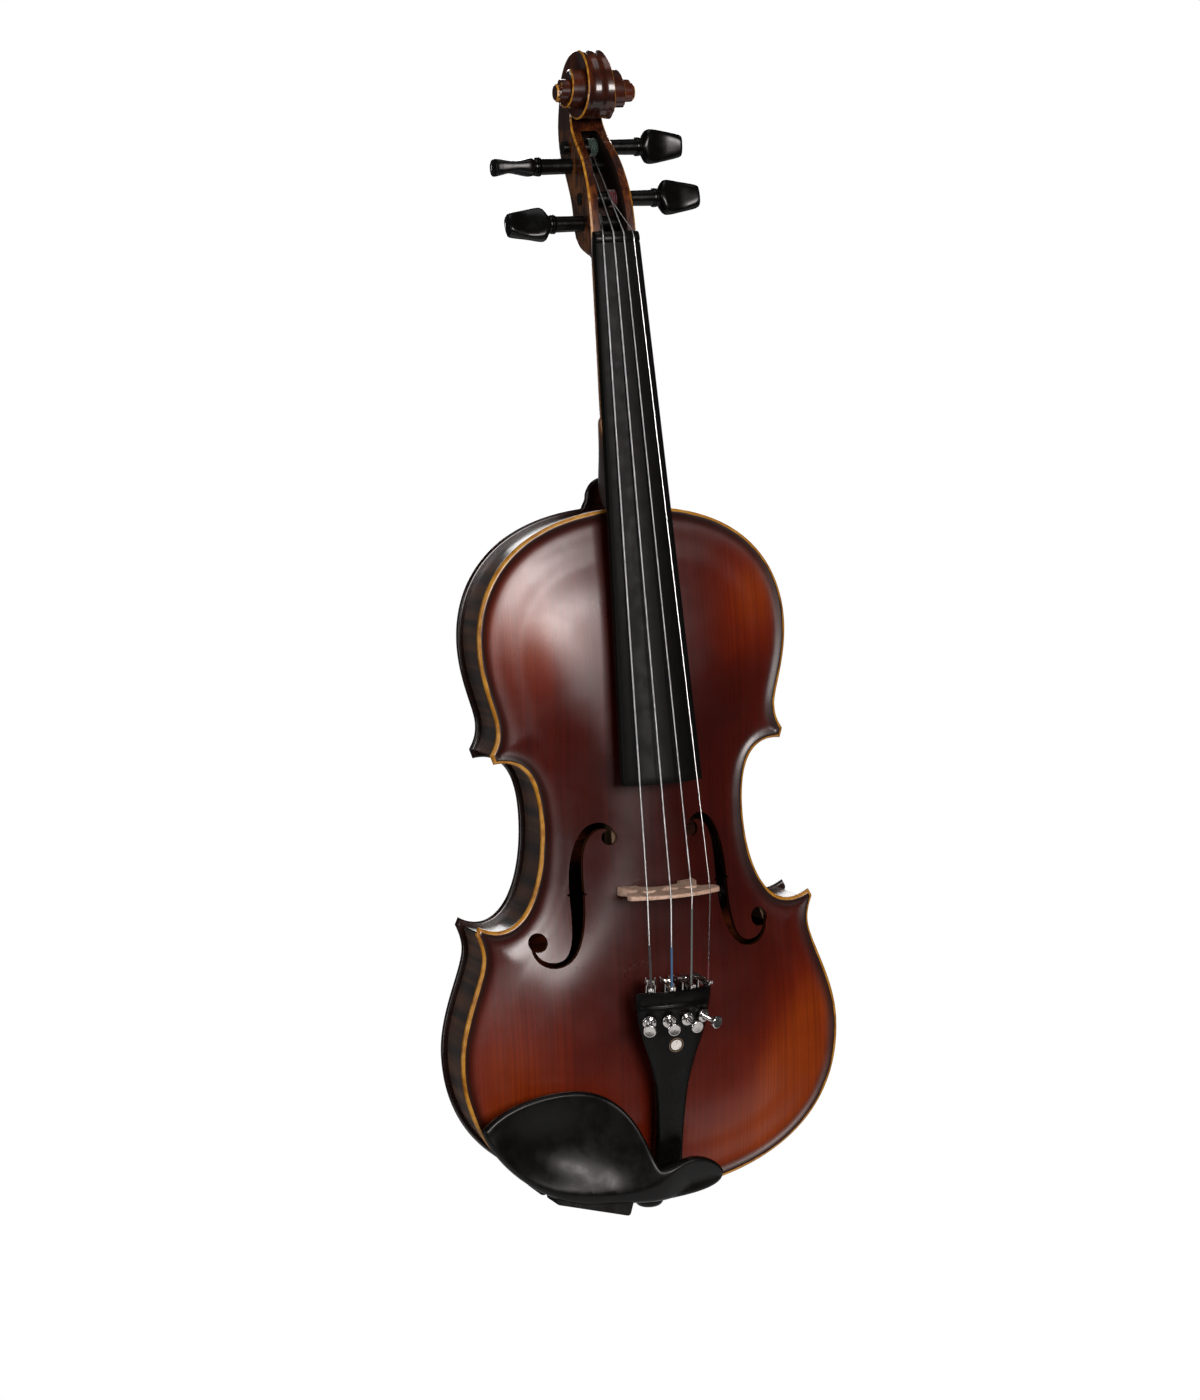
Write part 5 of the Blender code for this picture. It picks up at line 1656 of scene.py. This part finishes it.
def make_clamp():
    """The riser, corks and foot, and the two threaded legs with their barrels."""
    ends = [np.array(joint_place(f"{name}_barrel_turn"))[[0, 2]] for name in BARREL_NAMES]
    along = (ends[1] - ends[0]) / np.linalg.norm(ends[1] - ends[0])
    inward = np.array((-along[1], along[0]))
    if inward[1] < 0:
        inward = -inward

    def strip(near, far, reach=3.0, corner=1.8):
        """A rounded strip along the two legs, between two distances inward of them."""
        low, high = ends[0] - reach * along, ends[1] + reach * along
        loop = [low + near * inward, high + near * inward, high + far * inward, low + far * inward]
        return rounded_loop(loop, corner)

    def layered(name, loop, levels, material, body, node, slot):
        """A strip through levels of (height, inset); a height of None follows the chinrest."""
        centre = loop.mean(0)
        rings = []
        for y, less in levels:
            shrink = centre + (loop - centre) * (1 - less / 12)
            heights = chinrest_middle(shrink[:, 0], shrink[:, 1]) if y is None else [y] * len(loop)
            rings.append([(u, height, v) for (u, v), height in zip(shrink, heights)])
        make(name, *skin(rings), material, body, node, slot, sharp=45)

    face = RIB_HALF + EDGE
    foot_loop, pad_loop = strip(-1.9, 13), strip(4.5, 8.5, 2.8, 1.2)
    riser = ((None, 0.2), (-face - 3.4, 0.0), (-face - 2.4, 0.2), (-face - 2.2, 0.6))
    layered("chinrest_riser", foot_loop, riser, REST_EBONY, "root", "chinrest", "ebony")
    front_cork = ((-face - 2.15, 0.3), (-face - 1.5, 0), (-face - 0.5, 0), (-face - 0.05, 0.2))
    layered("chinrest_cork_shaped", pad_loop, front_cork, CORK, "root", "chinrest_cork", "cork")
    foot, metal = "chinrest_foot", "black_metal"
    plate = ((face + 1.2, 0.5), (face + 1.5, 0), (face + 2.9, 0), (face + 3.4, 0.6))
    layered("foot_plate", foot_loop, plate, BLACK_METAL, foot, foot, metal)
    back_cork = ((face + 0.05, 0.2), (face + 0.3, 0), (face + 1.0, 0), (face + 1.18, 0.3))
    layered("foot_cork", pad_loop, back_cork, CORK, foot, None, "cork")
    for name, (x, z) in zip(BARREL_NAMES, ends):
        upper = turned(threaded(1.55, -30, -4.2), (x, 0, z), (0, 1, 0), 20)
        lower = turned(threaded(1.55, 4.2, face + 2), (x, 0, z), (0, 1, 0), 20)
        make(f"{name}_upper_leg", *upper, BLACK_METAL, node="chinrest", slot=metal)
        make(f"{name}_lower_leg", *lower, BLACK_METAL, foot, foot, metal)
        end = [(1.7, -9.5), (2.7, -9.5), (3.2, -9.0), (3.2, -6.2), (2.9, -6.0), (2.9, -5.5), (3.2, -5.3)]
        barrel = end + [(radius, -y) for radius, y in end[::-1]] + end[:1]
        shape = turned(barrel, (x, 0, z), (0, 1, 0), 48, barrel_grip)
        node = f"{name}_barrel"
        make(f"{node}_shaped", *shape, BLACK_METAL, node, node, metal, sharp=30)


def barrel_grip(angle, i):
    """Shallow grooves along the barrel's middle."""
    return 1 - 0.02 * (math.cos(24 * angle) > 0.2) * (6 <= i <= 7)


def threaded(radius, low, high, pitch=0.8):
    """The profile of a threaded rod."""
    profile = [(radius * 0.7, low)]
    for y in np.arange(low + 0.2, high - pitch, pitch):
        profile += [(radius, y), (radius * 0.9, y + 0.35 * pitch), (radius, y + 0.7 * pitch)]
    return profile + [(radius * 0.7, high)]


def rounded_loop(loop, radius, steps=5):
    """A closed loop with its corners rounded."""
    p = [np.array(v, float) for v in loop]
    found = []
    for a, b, c in zip(p[-1:] + p[:-1], p, p[1:] + p[:1]):
        start = b + (a - b) / np.linalg.norm(a - b) * radius
        end = b + (c - b) / np.linalg.norm(c - b) * radius
        found += corner_arc(start, b, end, np.linspace(0, 1, steps))
    return np.array(found)


def make_end_button():
    profile = [(0.1, 18), (3.5, 18), (3.8, 17.5), (3.9, 2.7), (6.3, 2.6), (6.6, 2.2)]
    profile += [(6.6, 0.9), (6.2, 0.4), (5.2, -0.8), (4.8, -2.0), (4.9, -3.4), (6.4, -5.0)]
    profile += [(7.4, -6.3), (7.6, -7.6), (7.2, -9.2), (6.3, -10.3), (5.0, -11.0), (0.1, -11.0)]
    shape = turned(rounded_profile(profile, 0.5), (0, 0, 0), (0, 0, 1), 56)
    make("end_button_turned", *shape, EBONY, node="end_button", slot="ebony", sharp=45)


def make_saddle():
    rings = []
    face = RIB_HALF + EDGE
    for x in (-17, -16.7, -16, -8, 0, 8, 16, 16.7, 17):
        less = 0.6 * (abs(x) > 16.8) + 0.25 * (16.5 < abs(x) < 16.8)
        low, high, front = -0.2 + less, 5.6 - less, -face - 3.2 + less
        back = -RIB_HALF
        section = [(back, low), (front + 1.6, low), (front + 0.5, low + 0.4), (front, low + 1.6)]
        section += [(front, high - 1.8), (front + 0.5, high - 0.5), (front + 1.6, high), (back, high)]
        rings.append([(x, y, z) for y, z in section])
    make("saddle_shaped", *skin(rings), EBONY, node="saddle", slot="ebony", sharp=45)


def make_tailgut():
    """A loop from the tailpiece's end over the saddle and round the end button."""
    near = -RIB_HALF - EDGE - 4.6
    half = [(4.0, tail_front(z) + 5.5, z) for z in (11.0, 6.4)]
    half += [(4.1, near, 4.0), (4.6, near, 0.5), (5.2, near + 1.2, -1.6), (6.4, -8, -2.5)]
    angles = np.linspace(0, math.pi, 7)
    loop = half + [(6.4 * math.cos(a), 6.4 * math.sin(a), -2.5) for a in angles]
    loop += [(-x, y, z) for x, y, z in reversed(half)]
    make("tailgut_bent", *tube(through(loop, 4), 0.9, 12), NYLON, node="tailgut", slot="tailgut", sharp=60)


def finish_inside():
    """The pieces inside the body keep their CAD shapes and take bare wood whose dark tones are painted shade
    of the body's inside.
    """
    inside_nodes = ["top_linings", "back_linings", "upper_block", "lower_block", "bass_bar", "sound_post"]
    for end in ("upper", "lower"):
        inside_nodes += [f"{end}_corner_block_{side}" for side, _ in SIDES]
    for name in inside_nodes:
        node = frame["nodes"][name]
        node.data.materials.clear()
        node.data.materials.append(BARE)


# Camera, light and floor, in metres

VIEW_ANGLES = (-20.646, 6.188, -2.834)
VIEW_TARGET = Vector((-0.0207, -0.0185, 0.2705))
VIEW_DISTANCE = 1.43
LENS = 72.58
SENSOR_WIDTH = 36.0
FLOOR_HALF = 0.95
FLOOR_Z = -0.6
# Name, place, aim, size, watts, colour
LIGHTS = (
    ("front_softbox", (0.06, -2.6, 0.82), (0.0, 0.0, 0.30), (1.1, 0.75), 66, (1.0, 0.94, 0.92)),
    ("left_strip", (-2.2, -0.6, 0.5), (0.0, 0.0, 0.25), (0.5, 1.8), 16, (0.95, 0.97, 1.0)),
    ("back_fill", (0.8, 2.4, 1.2), (0.0, 0.0, 0.25), (1.6, 1.6), 40, (1.0, 1.0, 1.0)),
    ("top_fill", (0.0, -0.4, 2.4), (0.0, 0.0, 0.25), (1.2, 1.2), 6, (1.0, 1.0, 1.0)),
)


def make_camera():
    """A long lens that looks from the front left, turned a little about its own axis."""
    azimuth, elevation, roll = (math.radians(v) for v in VIEW_ANGLES)
    level = math.cos(elevation)
    back = Vector((math.sin(azimuth) * level, -math.cos(azimuth) * level, math.sin(elevation)))
    right = Vector((0, 0, 1)).cross(back).normalized()
    up = back.cross(right)
    turned_right = math.cos(roll) * right + math.sin(roll) * up
    turned_up = math.cos(roll) * up - math.sin(roll) * right
    camera = placed("camera", bpy.data.cameras.new("camera"))
    camera.data.lens = LENS
    camera.data.sensor_width = SENSOR_WIDTH
    axes = Matrix((turned_right, turned_up, back)).transposed()
    camera.matrix_world = Matrix.Translation(VIEW_TARGET + back * VIEW_DISTANCE) @ axes.to_4x4()
    bpy.context.scene.camera = camera


def make_floor():
    mesh = bpy.data.meshes.new("floor")
    corners = [(x * FLOOR_HALF, y * FLOOR_HALF, FLOOR_Z) for x, y in ((-1, -1), (1, -1), (1, 1), (-1, 1))]
    mesh.from_pydata(corners, [], [(0, 1, 2, 3)])
    floor = placed("floor", mesh)
    pale = Finish("pale_floor", Roughness=0.9)
    pale.set("Base Color", (0.9, 0.9, 0.9))
    mesh.materials.append(pale.material)


def make_lights():
    for name, place, aim, size, power, colour in LIGHTS:
        data = bpy.data.lights.new(name, "AREA")
        data.shape = "RECTANGLE"
        data.size, data.size_y = size
        data.energy = power
        data.color = colour
        lamp = placed(name, data)
        lamp.location = place
        direction = Vector(aim) - Vector(place)
        lamp.rotation_euler = direction.to_track_quat("-Z", "Y").to_euler()


def make_world():
    """White where the camera sees it, and a dim grey for the light it gives."""
    world = bpy.data.worlds.new("studio")
    world.use_nodes = True
    tree = world.node_tree
    background = tree.nodes["Background"]
    path = tree.nodes.new("ShaderNodeLightPath")
    blend = tree.nodes.new("ShaderNodeMix")
    blend.data_type = "RGBA"
    blend.inputs["A"].default_value = (0.045, 0.045, 0.046, 1)
    blend.inputs["B"].default_value = (1.0, 1.0, 1.0, 1)
    tree.links.new(path.outputs["Is Camera Ray"], blend.inputs["Factor"])
    tree.links.new(blend.outputs["Result"], background.inputs["Color"])
    bpy.context.scene.world = world
    bpy.context.scene.view_settings.view_transform = "Standard"


def main():
    make_camera()
    make_floor()
    make_lights()
    make_world()
    make_plates()
    make_ribs()
    make_head()
    make_neck()
    make_fingerboard()
    make_nut()
    make_bridge()
    make_tailpiece()
    for string in STRINGS:
        make_peg(string)
        make_tuner(string)
        make_string(string)
    make_chinrest()
    make_end_button()
    make_saddle()
    make_tailgut()
    finish_inside()


main()
